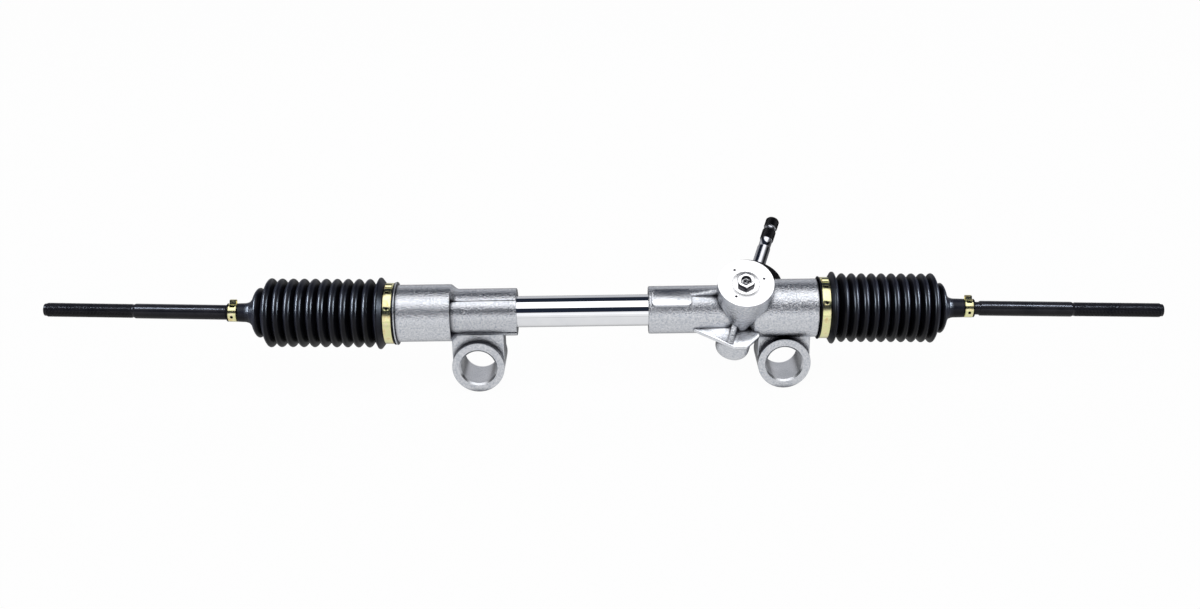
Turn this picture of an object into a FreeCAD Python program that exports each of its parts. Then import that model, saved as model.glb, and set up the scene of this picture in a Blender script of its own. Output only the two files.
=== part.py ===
import FreeCAD, Part
import math
import os

import Sketcher

# Manual rack-and-pinion steering gear, in millimetres.
# The origin is the centre of the pinion-side mounting bore. +X runs along the rack towards the
# pinion-side tie rod, -Y faces the front, +Z is up.

NAMED_SIZES = {
    # rack, mounts and overall places
    "axis_height": 52.0,
    "mount_spacing": 311.0,
    "eye_bore_radius": 17.75,
    "eye_radius": 26.7,
    "eye_length": 45.0,
    "eye_chamfer": 1.8,
    "lug_depth": 29.0,
    "right_stop_place": -12.6,
    "left_stop_reach": 35.4,
    "rack_offset": -4.7,
    # rack bar and its teeth
    "rack_radius": 12.5,
    "rack_flat_share": 0.78,
    "tooth_module": 2.0,
    "pressure_angle": 25.0,
    "profile_shift": 0.45,
    "pinion_lean": 18.5,
    "tooth_play": 0.1,
    "tip_gap": 0.35,
    "pinion_tip_radius": 8.8,
    "travel_half": 70.0,
    "stop_gap": 0.3,
    "rack_thread_radius": 9.0,
    # ball joints
    "ball_radius": 11.5,
    "seat_radius": 14.2,
    "socket_radius": 19.5,
    "socket_mouth": 8.5,
    "socket_back": 18.5,
    "socket_nut_width": 7.5,
    "socket_nut_flats": 34.0,
    "lock_pin_radius": 2.4,
    "seat_spring_gap": 1.6,
    # tie rods
    "rod_neck_radius": 5.6,
    "rod_shank_radius": 6.5,
    "rod_body_radius": 7.55,
    "rod_thread_radius": 7.14,
    "rod_body_start": 120.0,
    "rod_thread_start": 213.0,
    "rod_length": 305.4,
    "left_tilt": 1.8,
    "right_tilt": 1.55,
    # centre tube and bush
    "tube_radius": 15.875,
    "tube_wall": 2.4,
    "tube_grip": 30.0,
    "bush_radius": 15.2,
    "bush_length": 32.0,
    # pinion housing casting
    "yoke_place": -41.2,
    "yoke_slope": 55.0,
    "boss_radius": 27.9,
    "boss_face": 46.0,
    "boss_straight": 20.0,
    "small_barrel_radius": 24.2,
    "right_barrel_radius": 29.6,
    "right_barrel_start": -31.0,
    "right_barrel_end": 33.1,
    "right_spigot_end": 46.0,
    "spigot_radius": 28.2,
    "right_tube_end": -137.5,
    "stop_bore_radius": 24.0,
    "rack_bore_radius": 13.2,
    "tower_radius": 25.2,
    "tower_top": 49.0,
    "lower_boss_radius": 17.3,
    "lower_boss_end": 47.8,
    "boss_root_radius": 19.0,
    "skirt_toe_radius": 8.0,
    "tower_root": 20.0,
    "lower_root": 14.0,
    "lower_dome": 10.5,
    "barrel_step": 6.0,
    "plate_top": 1.5,
    "plate_thickness": 4.5,
    "plate_reach": 46.8,
    "rib_thickness": 6.0,
    "rib_height": 13.0,
    "pad_length": 39.5,
    "pad_width": 19.5,
    "pad_height": 1.1,
    "pad_corner": 4.5,
    "ridge_thickness": 4.2,
    "ridge_depth": 12.0,
    "ridge_end": 22.0,
    "pad_place": -133.9,
    # end housing casting
    "left_barrel_radius": 29.1,
    "left_barrel_reach": 80.9,
    "left_barrel_near": 26.3,
    "left_step_length": 6.2,
    "left_tube_reach": 40.5,
    "left_flange_radius": 32.2,
    "left_flange_width": 1.2,
    "left_spigot_reach": 96.0,
    "saddle_rise": 1.1,
    "saddle_start_angle": 219.0,
    "saddle_spread": 94.0,
    # yoke group
    "yoke_radius": 16.5,
    "yoke_gap": 0.05,
    "liner_thickness": 0.8,
    "yoke_skirt": 2.5,
    "yoke_top": 34.0,
    "spring_pocket_radius": 9.5,
    "spring_pocket_floor": 20.5,
    "spring_wire": 2.4,
    "spring_turns": 4.0,
    "seat_washer": 1.6,
    "plug_radius": 18.9,
    "plug_thickness": 11.0,
    "plug_ring_radius": 13.6,
    "screw_radius": 5.0,
    "screw_recess": 3.0,
    "screw_key": 5.0,
    "nut_across_flats": 16.3,
    "nut_thickness": 5.6,
    # pinion shaft and bearings
    "face_half": 13.0,
    "collar_radius": 9.8,
    "bearing_start": 22.0,
    "bearing_width": 12.0,
    "bearing_bore_radius": 8.5,
    "bearing_outer_radius": 20.0,
    "race_step": 4.1,
    "bearing_balls": 8.0,
    "bearing_ball_radius": 3.37,
    "circlip_thickness": 1.4,
    "seal_width": 7.0,
    "shaft_radius": 6.9,
    "shaft_neck_radius": 6.35,
    "spline_radius": 7.14,
    "neck_start": 91.0,
    "spline_start": 101.5,
    "shaft_end": 129.5,
    "clamp_groove_place": 116.0,
    "clamp_groove_width": 4.0,
    "lower_journal_radius": 7.0,
    "lower_journal_end": 34.0,
    "bush_wall": 3.0,
    "running_gap": 0.03,
    "cap_radius": 29.0,
    "cap_top": 52.6,
    "cap_depth": 10.5,
    # boots and clamps
    "boot_wall": 1.6,
    "peak_radius": 35.0,
    "first_peak_radius": 36.6,
    "valley_radius": 27.6,
    "last_peak_radius": 25.2,
    "last_valley_radius": 20.5,
    "boot_peaks": 11.0,
    "cuff_radius": 30.2,
    "cuff_lip_radius": 31.9,
    "neck_radius": 9.0,
    "cuff_gap": 0.8,
    # the first ridge is measured from the cuff, the rest from the ball that the neck follows
    "left_first_peak": 15.7,
    "left_last_peak": 74.1,
    "left_small_peak": 86.3,
    "left_neck_start": 96.1,
    "left_neck_end": 118.6,
    "right_first_peak": 14.5,
    "right_last_peak": 70.2,
    "right_small_peak": 80.0,
    "right_neck_start": 88.0,
    "right_neck_end": 113.6,
    "clamp_thickness": 0.8,
    "large_clamp_width": 8.2,
    "large_clamp_inset": 1.6,
    "large_ear_height": 2.2,
    "large_ear_climb": 82.0,
    "small_clamp_width": 8.2,
    "small_clamp_inset": 1.8,
    "small_ear_height": 3.9,
    "small_ear_climb": 100.0,
    "clamp_ear_width": 6.4,
    "clamp_ear_foot": 3.3,
}


class Size(float):
    """A number in millimetres or degrees that keeps the sheet expression it was worked out from."""

    def __new__(cls, value, text=None):
        size = float.__new__(cls, value)
        size.text = text if text is not None else repr(float(value))
        return size

    def combine(self, other, sign, value):
        return Size(value, "(%s %s %s)" % (self.text, sign, words(other)))

    def __add__(self, other):
        return self.combine(other, "+", float(self) + float(other))

    def __sub__(self, other):
        return self.combine(other, "-", float(self) - float(other))

    def __mul__(self, other):
        return self.combine(other, "*", float(self) * float(other))

    def __truediv__(self, other):
        return self.combine(other, "/", float(self) / float(other))

    def __radd__(self, other):
        return Size(other) + self

    def __rsub__(self, other):
        return Size(other) - self

    def __rmul__(self, other):
        return Size(other) * self

    def __neg__(self):
        return Size(-float(self), "(0 - %s)" % self.text)


def words(value):
    return value.text if isinstance(value, Size) else repr(float(value))


def sine(angle):
    return Size(math.sin(math.radians(angle)), "sin(%s * 1 deg)" % words(angle))


def cosine(angle):
    return Size(math.cos(math.radians(angle)), "cos(%s * 1 deg)" % words(angle))


def tangent(angle):
    return Size(math.tan(math.radians(angle)), "tan(%s * 1 deg)" % words(angle))


doc = FreeCAD.newDocument("steering_rack")
sheet = doc.addObject("Spreadsheet::Sheet", "sizes")
for row, (alias, number) in enumerate(NAMED_SIZES.items(), start=1):
    sheet.set("A%d" % row, alias)
    sheet.set("B%d" % row, repr(number))
    sheet.setAlias("B%d" % row, alias)
doc.recompute()


def size(alias):
    return Size(float(sheet.get(alias)), "sizes." + alias)


# Directions of the gear: the yoke axis points up and forward, the pinion leans along the rack.

X_AXIS = FreeCAD.Vector(1, 0, 0)
Y_AXIS = FreeCAD.Vector(0, 1, 0)
Z_AXIS = FreeCAD.Vector(0, 0, 1)
ORIGIN = FreeCAD.Vector(0, 0, 0)
yoke_turn = FreeCAD.Rotation(X_AXIS, 90 - float(size("yoke_slope")))
yoke_axis = yoke_turn.multVec(Z_AXIS)
lean = size("pinion_lean")
pinion_turn = FreeCAD.Rotation(yoke_axis, -float(lean)).multiply(
    FreeCAD.Rotation(X_AXIS, -float(size("yoke_slope")))
)
pinion_axis = pinion_turn.multVec(Z_AXIS)
along_rack = FreeCAD.Rotation(Y_AXIS, 90)
against_rack = FreeCAD.Rotation(Y_AXIS, -90)
axis_height = size("axis_height")
yoke_place = size("yoke_place")

# Tooth geometry: straight rack teeth, a six-leaf helical pinion whose helix equals its lean.

PINION_LEAVES = 6
tooth_module = size("tooth_module")
pitch_radius = tooth_module * PINION_LEAVES / 2 / cosine(lean)
rack_tip_distance = pitch_radius - (1 - size("profile_shift")) * tooth_module
rack_root_distance = size("pinion_tip_radius") + size("tip_gap")
rack_pitch = tooth_module * math.pi
rack_tip_height = size("rack_radius") * size("rack_flat_share")
pinion_offset = rack_tip_height + rack_tip_distance
rack_root_height = rack_tip_height - (rack_root_distance - rack_tip_distance)


def rack_point(x):
    return FreeCAD.Vector(float(x), 0, float(axis_height))


pinion_origin = rack_point(yoke_place) - yoke_axis * float(pinion_offset)

far_eye = -size("mount_spacing")
right_stop = size("right_stop_place")
left_stop = far_eye - size("left_stop_reach")
socket_inboard = size("socket_back") + size("socket_nut_width")
seat_back = size("ball_radius") + 1.1
ball_reach = socket_inboard + size("travel_half") + size("stop_gap")
left_ball = left_stop - ball_reach + size("rack_offset")
right_ball = right_stop + ball_reach + size("rack_offset")

finished = []


def keep(feature, label):
    feature.Label = label
    finished.append(feature)
    return feature


def put(feature, place, turn=FreeCAD.Rotation()):
    feature.Placement = FreeCAD.Placement(place, turn)
    return feature


# Sketch and body helpers

def origin_plane(body, role):
    for feature in body.Origin.OriginFeatures:
        if feature.Role == role:
            return feature
    raise ValueError(role)


def pin_coordinate(sketch, edge, number, kind, axis_edge):
    if abs(number) < 1e-9 and not (isinstance(number, Size) and number.text.count("sizes")):
        sketch.addConstraint(Sketcher.Constraint("PointOnObject", edge, 1, axis_edge))
        return
    index = sketch.addConstraint(Sketcher.Constraint(kind, edge, 1, float(number)))
    if isinstance(number, Size):
        sketch.setExpression("Constraints[%d]" % index, number.text)


def draw(sketch, points):
    """Closes straight edges through the points and binds each corner to the sheet."""
    corners = [FreeCAD.Vector(float(a), float(b), 0) for a, b in points]
    count = len(points)
    for index in range(count):
        sketch.addGeometry(Part.LineSegment(corners[index], corners[(index + 1) % count]))
    for index in range(count):
        sketch.addConstraint(
            Sketcher.Constraint("Coincident", index, 2, (index + 1) % count, 1)
        )
    for index, (across, up) in enumerate(points):
        pin_coordinate(sketch, index, across, "DistanceX", -2)
        pin_coordinate(sketch, index, up, "DistanceY", -1)
    return sketch


def outline(body, name, points, role="XZ_Plane"):
    """A closed outline on one of the body's own planes."""
    sketch = body.newObject("Sketcher::SketchObject", name)
    sketch.AttachmentSupport = [(origin_plane(body, role), "")]
    sketch.MapMode = "FlatFace"
    return draw(sketch, points)


def circle_outline(body, name, circles, role="XY_Plane"):
    """Full circles, each given as (across, up, radius)."""
    sketch = body.newObject("Sketcher::SketchObject", name)
    sketch.AttachmentSupport = [(origin_plane(body, role), "")]
    sketch.MapMode = "FlatFace"
    for index, (across, up, radius) in enumerate(circles):
        centre = FreeCAD.Vector(float(across), float(up), 0)
        sketch.addGeometry(Part.Circle(centre, Z_AXIS, float(radius)))
        if abs(across) < 1e-9 and abs(up) < 1e-9:
            sketch.addConstraint(Sketcher.Constraint("Coincident", index, 3, -1, 1))
        else:
            for number, kind, axis_edge in ((across, "DistanceX", -2), (up, "DistanceY", -1)):
                if abs(number) < 1e-9:
                    sketch.addConstraint(
                        Sketcher.Constraint("PointOnObject", index, 3, axis_edge)
                    )
                else:
                    place = sketch.addConstraint(
                        Sketcher.Constraint(kind, index, 3, float(number))
                    )
                    if isinstance(number, Size):
                        sketch.setExpression("Constraints[%d]" % place, number.text)
        bound = sketch.addConstraint(Sketcher.Constraint("Radius", index, float(radius)))
        if isinstance(radius, Size):
            sketch.setExpression("Constraints[%d]" % bound, radius.text)
    return sketch


def new_body(label, place, turn=FreeCAD.Rotation()):
    body = doc.addObject("PartDesign::Body", label)
    keep(body, label)
    put(body, place, turn)
    return body


def turned(label, points, place, turn=FreeCAD.Rotation()):
    """A body of revolution: points are (radius, height) about the body's own Z axis."""
    body = new_body(label, place, turn)
    sketch = outline(body, label + "_profile", points)
    revolution = body.newObject("PartDesign::Revolution", label + "_turned")
    revolution.Profile = sketch
    revolution.ReferenceAxis = (sketch, ["V_Axis"])
    revolution.Angle = 360
    return body


def ring_points(inner, outer, low, high):
    return [(inner, low), (outer, low), (outer, high), (inner, high)]


def cut_circle(body, name, circles, reach, role="XY_Plane", both_ways=True):
    """Cuts round holes through the body from the sketch plane, both ways or to the back."""
    sketch = circle_outline(body, name + "_sketch", circles, role)
    pocket = body.newObject("PartDesign::Pocket", name)
    pocket.Profile = sketch
    pocket.Length = float(reach)
    if isinstance(reach, Size):
        pocket.setExpression("Length", reach.text)
    pocket.Midplane = both_ways
    body.Tip = pocket
    doc.recompute()
    return pocket


# Part helpers for the castings

def cylinder(name, radius, length, place, turn=FreeCAD.Rotation()):
    solid = doc.addObject("Part::Cylinder", name)
    solid.Radius = float(radius)
    solid.Height = float(length)
    if isinstance(radius, Size):
        solid.setExpression("Radius", radius.text)
    if isinstance(length, Size):
        solid.setExpression("Height", length.text)
    return put(solid, place, turn)


def cone(name, low_radius, high_radius, length, place, turn=FreeCAD.Rotation()):
    solid = doc.addObject("Part::Cone", name)
    for name_of_size, number in (("Radius1", low_radius), ("Radius2", high_radius), ("Height", length)):
        setattr(solid, name_of_size, float(number))
        if isinstance(number, Size):
            solid.setExpression(name_of_size, number.text)
    return put(solid, place, turn)


def block(name, across, deep, high, place, turn=FreeCAD.Rotation()):
    """A box whose Placement is its near corner."""
    solid = doc.addObject("Part::Box", name)
    for name_of_size, number in (("Length", across), ("Width", deep), ("Height", high)):
        setattr(solid, name_of_size, float(number))
        if isinstance(number, Size):
            solid.setExpression(name_of_size, number.text)
    return put(solid, place, turn)


def shape_feature(name, shape):
    feature = doc.addObject("Part::Feature", name)
    feature.Shape = shape
    return feature


def fused(name, solids):
    joined = doc.addObject("Part::MultiFuse", name)
    joined.Shapes = solids
    return joined


def cut(name, base, tool):
    result = doc.addObject("Part::Cut", name)
    result.Base = base
    result.Tool = tool
    return result


def span(name, radius, start, end):
    """A cylinder on the rack axis from one X to another."""
    return cylinder(name, radius, end - start, rack_point(start), along_rack)


def prism(name, points, thickness, place, turn=FreeCAD.Rotation()):
    """A straight-edged outline in its own XY plane, raised along its own Z axis."""
    sketch = put(doc.addObject("Sketcher::SketchObject", name + "_sketch"), place, turn)
    draw(sketch, points)
    solid = doc.addObject("Part::Extrusion", name)
    solid.Base = sketch
    solid.DirMode = "Normal"
    solid.LengthFwd = float(thickness)
    if isinstance(thickness, Size):
        solid.setExpression("LengthFwd", thickness.text)
    solid.Solid = True
    return solid


# Mounting eye and lug, the same on both castings

eye_radius = size("eye_radius")
eye_length = size("eye_length")
lug_depth = size("lug_depth")
eye_bore_radius = size("eye_bore_radius")
eye_chamfer = size("eye_chamfer")
toward_back = FreeCAD.Rotation(X_AXIS, -90)
toward_front = FreeCAD.Rotation(X_AXIS, 90)


def eye_solids(side, x):
    ring = cylinder(
        side + "_eye", eye_radius, eye_length, FreeCAD.Vector(x, -eye_length / 2, 0), toward_back
    )
    lug = block(
        side + "_lug",
        eye_radius * 2,
        lug_depth,
        axis_height,
        FreeCAD.Vector(x - eye_radius, -lug_depth / 2, 0),
    )
    return [ring, lug]


def eye_cuts(side, x):
    bore = cylinder(
        side + "_eye_bore",
        eye_bore_radius,
        eye_length,
        FreeCAD.Vector(x, -eye_length / 2, 0),
        toward_back,
    )
    wide = eye_bore_radius + eye_chamfer
    back = cone(
        side + "_back_chamfer",
        eye_bore_radius,
        wide,
        eye_chamfer,
        FreeCAD.Vector(x, eye_length / 2 - eye_chamfer, 0),
        toward_back,
    )
    front = cone(
        side + "_front_chamfer",
        eye_bore_radius,
        wide,
        eye_chamfer,
        FreeCAD.Vector(x, eye_chamfer - eye_length / 2, 0),
        toward_front,
    )
    return [bore, back, front]


# Places on the yoke axis and the pinion axis

def on_yoke_axis(distance):
    return rack_point(yoke_place) + yoke_axis * float(distance)


def on_pinion_axis(distance):
    return pinion_origin + pinion_axis * float(distance)


def in_yoke_frame(along, across, out):
    """A point given along the rack from the yoke axis, across it in the gusset plane, and outward."""
    return rack_point(yoke_place) + yoke_turn.multVec(
        FreeCAD.Vector(float(along), float(across), float(out))
    )


# Pinion housing casting

boss_radius = size("boss_radius")
boss_face = size("boss_face")
boss_low = boss_face - size("boss_straight")
tower_radius = size("tower_radius")
tower_top = size("tower_top")
lower_boss_radius = size("lower_boss_radius")
lower_boss_end = size("lower_boss_end")
small_barrel_radius = size("small_barrel_radius")
right_barrel_radius = size("right_barrel_radius")
right_barrel_start = size("right_barrel_start")
right_barrel_end = size("right_barrel_end")
right_spigot_end = size("right_spigot_end")
right_tube_end = size("right_tube_end")
spigot_radius = size("spigot_radius")
plate_thickness = size("plate_thickness")
plate_top = size("plate_top")
plate_reach = size("plate_reach")
barrel_step = size("barrel_step")
tower_root = size("tower_root")
lower_root = size("lower_root")
lower_dome = size("lower_dome")
SKIRT_TOE = (-4.0, -20.5)


def circle_wire(name, radius, place, turn):
    ring = doc.addObject("Part::Circle", name)
    ring.Radius = float(radius)
    if isinstance(radius, Size):
        ring.setExpression("Radius", radius.text)
    return put(ring, place, turn)


def boss_skirt():
    """The tapered underside that carries the yoke boss down onto the gusset plate."""
    top = circle_wire("skirt_top", boss_radius, on_yoke_axis(boss_low), yoke_turn)
    toe_place = in_yoke_frame(SKIRT_TOE[0], SKIRT_TOE[1], 0)
    toe = circle_wire("skirt_toe", size("skirt_toe_radius"), toe_place, yoke_turn)
    skirt = doc.addObject("Part::Loft", "boss_skirt")
    skirt.Sections = [toe, top]
    skirt.Solid = True
    skirt.Ruled = True
    return skirt


def gusset_plate():
    points = [
        (Size(-52.0), Size(-15.0)),
        (Size(-51.0), Size(-25.5)),
        (Size(-11.5), -plate_reach),
        (Size(1.5), -plate_reach),
        (Size(14.5), Size(-34.5)),
        (Size(16.0), Size(-15.0)),
    ]
    corner = in_yoke_frame(0, 0, plate_top - plate_thickness)
    return prism("gusset_plate", points, plate_thickness, corner, yoke_turn)


def gusset_rib():
    """The upright rib from the skirt's toe to the plate's edge, in line with the pinion."""
    thickness = size("rib_thickness")
    low = pinion_offset + plate_top - 1
    points = [
        (low, -plate_reach - 2.2),
        (low, Size(-15.0)),
        (low + size("rib_height"), Size(-15.0)),
        (low + 3, Size(-45.0)),
    ]
    # own X is the yoke axis, own Y the pinion axis, own Z runs against the rack
    across = yoke_axis.cross(pinion_axis)
    turn = FreeCAD.Rotation(yoke_axis, pinion_axis, across, "XYZ")
    return prism(
        "gusset_rib", points, thickness, pinion_origin + across * float(thickness / -2 + 1.5), turn
    )


def name_pad():
    length = size("pad_length")
    width = size("pad_width")
    depth = 8.0
    top = small_barrel_radius + size("pad_height")
    corner = in_yoke_frame(size("pad_place") - yoke_place, -1.7 - width / 2, top - depth)
    pad = block("pad_block", length, width, depth, corner, yoke_turn)
    rounded = doc.addObject("Part::Fillet", "name_pad")
    rounded.Base = pad
    corner_radius = float(size("pad_corner"))
    rounded.Edges = [(edge, corner_radius, corner_radius) for edge in (1, 3, 5, 7)]
    return rounded


def pad_ridge():
    """The low wedge that ties the pad to the yoke boss."""
    start = size("pad_place") + size("pad_length") - yoke_place - 1
    base = small_barrel_radius - 3
    end = -size("ridge_end")
    points = [(start, base), (end, base), (end, base + size("ridge_depth")), (start, base + 3.4)]
    turn = yoke_turn.multiply(FreeCAD.Rotation(X_AXIS, 90))
    return prism("pad_ridge", points, size("ridge_thickness"), in_yoke_frame(0, 4.0, 0), turn)


def lower_boss():
    boss = cylinder(
        "lower_boss_round",
        lower_boss_radius,
        lower_boss_end,
        on_pinion_axis(-lower_boss_end),
        pinion_turn,
    )
    dome = doc.addObject("Part::Fillet", "lower_boss")
    dome.Base = boss
    dome.Edges = [(3, float(lower_dome), float(lower_dome))]
    return dome


def pinion_housing():
    solids = [
        span("right_small_barrel", small_barrel_radius, right_tube_end, yoke_place),
        span("right_big_barrel", right_barrel_radius, right_barrel_start, right_barrel_end),
        cone(
            "right_barrel_step",
            small_barrel_radius,
            right_barrel_radius,
            barrel_step,
            rack_point(right_barrel_start - barrel_step),
            along_rack,
        ),
        span("right_spigot", spigot_radius, right_barrel_end, right_spigot_end),
        cylinder("yoke_boss", boss_radius, boss_face - boss_low, on_yoke_axis(boss_low), yoke_turn),
        cone("boss_root", size("boss_root_radius"), boss_radius, boss_low, on_yoke_axis(0), yoke_turn),
        boss_skirt(),
        cylinder(
            "tower", tower_radius, tower_top - tower_root, on_pinion_axis(tower_root), pinion_turn
        ),
        cone(
            "tower_root",
            lower_boss_radius,
            tower_radius,
            tower_root + lower_root,
            on_pinion_axis(-lower_root),
            pinion_turn,
        ),
        lower_boss(),
        gusset_plate(),
        gusset_rib(),
        name_pad(),
        pad_ridge(),
    ] + eye_solids("right", 0.0)
    rack_bore_radius = size("rack_bore_radius")
    tube_grip = size("tube_grip")
    bearing_start = size("bearing_start")
    fit = size("running_gap")
    groove_place = bearing_start + size("bearing_width")
    plug_floor = boss_face - size("plug_thickness")
    bush_bore = size("lower_journal_radius") + size("bush_wall") + fit
    cuts = [
        span(
            "right_tube_socket",
            size("tube_radius") + fit,
            right_tube_end - 1,
            right_tube_end + tube_grip,
        ),
        span("right_rack_bore", rack_bore_radius, right_tube_end, right_stop + 1),
        span("right_stop_bore", size("stop_bore_radius"), right_stop, right_spigot_end + 1),
        cylinder(
            "yoke_bore", size("yoke_radius") + size("yoke_gap"), boss_face, on_yoke_axis(0), yoke_turn
        ),
        cylinder(
            "plug_bore",
            size("plug_radius") + fit,
            boss_face - plug_floor + 1,
            on_yoke_axis(plug_floor),
            yoke_turn,
        ),
        cylinder(
            "pinion_bore",
            size("collar_radius") + 0.5,
            size("face_half") + bearing_start + 2,
            on_pinion_axis(-size("face_half") - 1),
            pinion_turn,
        ),
        cylinder(
            "bush_bore",
            bush_bore,
            size("lower_journal_end") + 0.5,
            on_pinion_axis(-size("lower_journal_end") - 0.5),
            pinion_turn,
        ),
        cylinder(
            "bearing_bore",
            size("bearing_outer_radius") + fit,
            tower_top - bearing_start + 1,
            on_pinion_axis(bearing_start),
            pinion_turn,
        ),
        cylinder(
            "circlip_groove",
            size("bearing_outer_radius") + 1.3,
            size("circlip_thickness"),
            on_pinion_axis(groove_place),
            pinion_turn,
        ),
    ] + eye_cuts("right", 0.0)
    casting = cut("pinion_housing", fused("pinion_casting", solids), fused("pinion_cuts", cuts))
    return keep(casting, "pinion_housing")


# End housing casting

left_barrel_radius = size("left_barrel_radius")
left_barrel_end = far_eye - size("left_barrel_reach")
left_barrel_start = far_eye - size("left_barrel_near")
left_tube_end = far_eye + size("left_tube_reach")
left_spigot_end = far_eye - size("left_spigot_reach")
left_flange_end = left_barrel_end - size("left_flange_width")
left_small_start = left_barrel_start + size("left_step_length")
bush_start = left_tube_end - size("tube_grip") - size("bush_length")
bush_end = bush_start + size("bush_length")
SADDLE_END = 7.0


def end_housing():
    saddle = cylinder(
        "saddle",
        small_barrel_radius + size("saddle_rise"),
        left_tube_end - SADDLE_END - left_barrel_start,
        rack_point(left_barrel_start),
        along_rack.multiply(FreeCAD.Rotation(Z_AXIS, float(size("saddle_start_angle")))),
    )
    saddle.setExpression("Angle", size("saddle_spread").text)
    solids = [
        span("left_small_barrel", small_barrel_radius, left_barrel_start, left_tube_end),
        span("left_big_barrel", left_barrel_radius, left_barrel_end, left_barrel_start),
        cone(
            "left_barrel_step",
            left_barrel_radius,
            small_barrel_radius,
            size("left_step_length"),
            rack_point(left_barrel_start),
            along_rack,
        ),
        span("left_flange", size("left_flange_radius"), left_flange_end, left_barrel_end),
        span("left_spigot", spigot_radius, left_spigot_end, left_flange_end),
        saddle,
    ] + eye_solids("left", far_eye)
    cuts = [
        span(
            "left_tube_socket", size("tube_radius") + size("running_gap"), bush_end, left_tube_end + 1
        ),
        span("bush_seat", size("bush_radius") + size("running_gap"), bush_start, bush_end + 1),
        span("left_rack_bore", size("rack_bore_radius"), left_stop - 1, left_tube_end),
        span("left_stop_bore", size("stop_bore_radius"), left_spigot_end - 1, left_stop),
    ] + eye_cuts("left", far_eye)
    casting = cut("end_housing", fused("end_casting", solids), fused("end_cuts", cuts))
    return keep(casting, "end_housing")


# Centre tube and rack bush

def centre_tube():
    outer = size("tube_radius")
    start = bush_end
    length = right_tube_end + size("tube_grip") - start
    points = ring_points(outer - size("tube_wall"), outer, Size(0.0), length)
    return turned("centre_tube", points, rack_point(start), along_rack)


def rack_bush():
    inner = size("rack_radius") + size("yoke_gap")
    length = size("bush_length")
    points = ring_points(inner, size("bush_radius"), Size(0.0), length)
    return turned("rack_bush", points, rack_point(bush_start), along_rack)


# Rack bar: own X runs along the rack from the yoke axis, own Z is the yoke axis

TEETH_BEFORE = 13
TEETH_AFTER = 12


def rack_bar():
    body = new_body("rack_bar", rack_point(yoke_place), yoke_turn)
    end_reach = seat_back + size("seat_spring_gap")
    thread_reach = socket_inboard + 2
    left_end = left_ball + end_reach - yoke_place
    left_shoulder = left_ball + thread_reach - yoke_place
    right_shoulder = right_ball - thread_reach - yoke_place
    right_end = right_ball - end_reach - yoke_place
    thread = size("rack_thread_radius")
    full = size("rack_radius")
    points = [
        (left_end, Size(0.0)),
        (left_end, thread - 1),
        (left_end + 1, thread),
        (left_shoulder, thread),
        (left_shoulder, full - 1),
        (left_shoulder + 1, full),
        (right_shoulder - 1, full),
        (right_shoulder, full - 1),
        (right_shoulder, thread),
        (right_end - 1, thread),
        (right_end, thread - 1),
        (right_end, Size(0.0)),
    ]
    sketch = outline(body, "rack_profile", points)
    bar = body.newObject("PartDesign::Revolution", "rack_round")
    bar.Profile = sketch
    bar.ReferenceAxis = (sketch, ["H_Axis"])
    bar.Angle = 360
    doc.recompute()
    zone_start = rack_pitch * -(TEETH_BEFORE + 0.5)
    zone_end = rack_pitch * (TEETH_AFTER + 0.5)
    flat_points = [
        (zone_start, -rack_tip_height),
        (zone_end, -rack_tip_height),
        (zone_end, -full - 2),
        (zone_start, -full - 2),
    ]
    flat_sketch = outline(body, "flat_sketch", flat_points)
    flat = body.newObject("PartDesign::Pocket", "tooth_flat")
    flat.Profile = flat_sketch
    flat.Midplane = True
    flat.Length = 4 * float(full)
    slope = tangent(size("pressure_angle"))
    normal_thickness = tooth_module * (math.pi / 2 + 2 * size("profile_shift") * slope)
    half_tip = normal_thickness / 2 + (pitch_radius - rack_tip_distance) * slope
    half_root = normal_thickness / 2 - (rack_root_distance - pitch_radius) * slope
    gap_centre = rack_pitch * -TEETH_BEFORE
    above = 1.0
    gap_points = [
        (gap_centre - half_root, -rack_root_height),
        (gap_centre + half_root, -rack_root_height),
        (gap_centre + half_tip + slope * above, -rack_tip_height - above),
        (gap_centre - half_tip - slope * above, -rack_tip_height - above),
    ]
    gap_sketch = outline(body, "gap_sketch", gap_points)
    gap = body.newObject("PartDesign::Pocket", "tooth_gap")
    gap.Profile = gap_sketch
    gap.Midplane = True
    gap.Length = 4 * float(full)
    doc.recompute()
    pattern = body.newObject("PartDesign::LinearPattern", "tooth_row")
    pattern.Originals = [gap]
    pattern.Direction = (gap_sketch, ["H_Axis"])
    pattern.Length = float(rack_pitch * (TEETH_BEFORE + TEETH_AFTER))
    pattern.setExpression("Length", (rack_pitch * (TEETH_BEFORE + TEETH_AFTER)).text)
    pattern.Occurrences = int(TEETH_BEFORE + TEETH_AFTER + 1)
    body.Tip = pattern
    return body


# Yoke group

def rack_yoke():
    skirt = size("yoke_skirt")
    top = size("yoke_top")
    blank = cylinder("yoke_blank", size("yoke_radius"), top - skirt, on_yoke_axis(skirt), yoke_turn)
    cradle_radius = size("rack_radius") + size("yoke_gap") + size("liner_thickness") + 0.02
    reach = size("yoke_radius") + 1
    cradle = span("cradle", cradle_radius, yoke_place - reach, yoke_place + reach)
    pocket = cylinder(
        "spring_pocket",
        size("spring_pocket_radius"),
        top - size("spring_pocket_floor") + 1,
        on_yoke_axis(size("spring_pocket_floor")),
        yoke_turn,
    )
    return keep(cut("rack_yoke", blank, fused("yoke_cuts", [cradle, pocket])), "rack_yoke")


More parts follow.
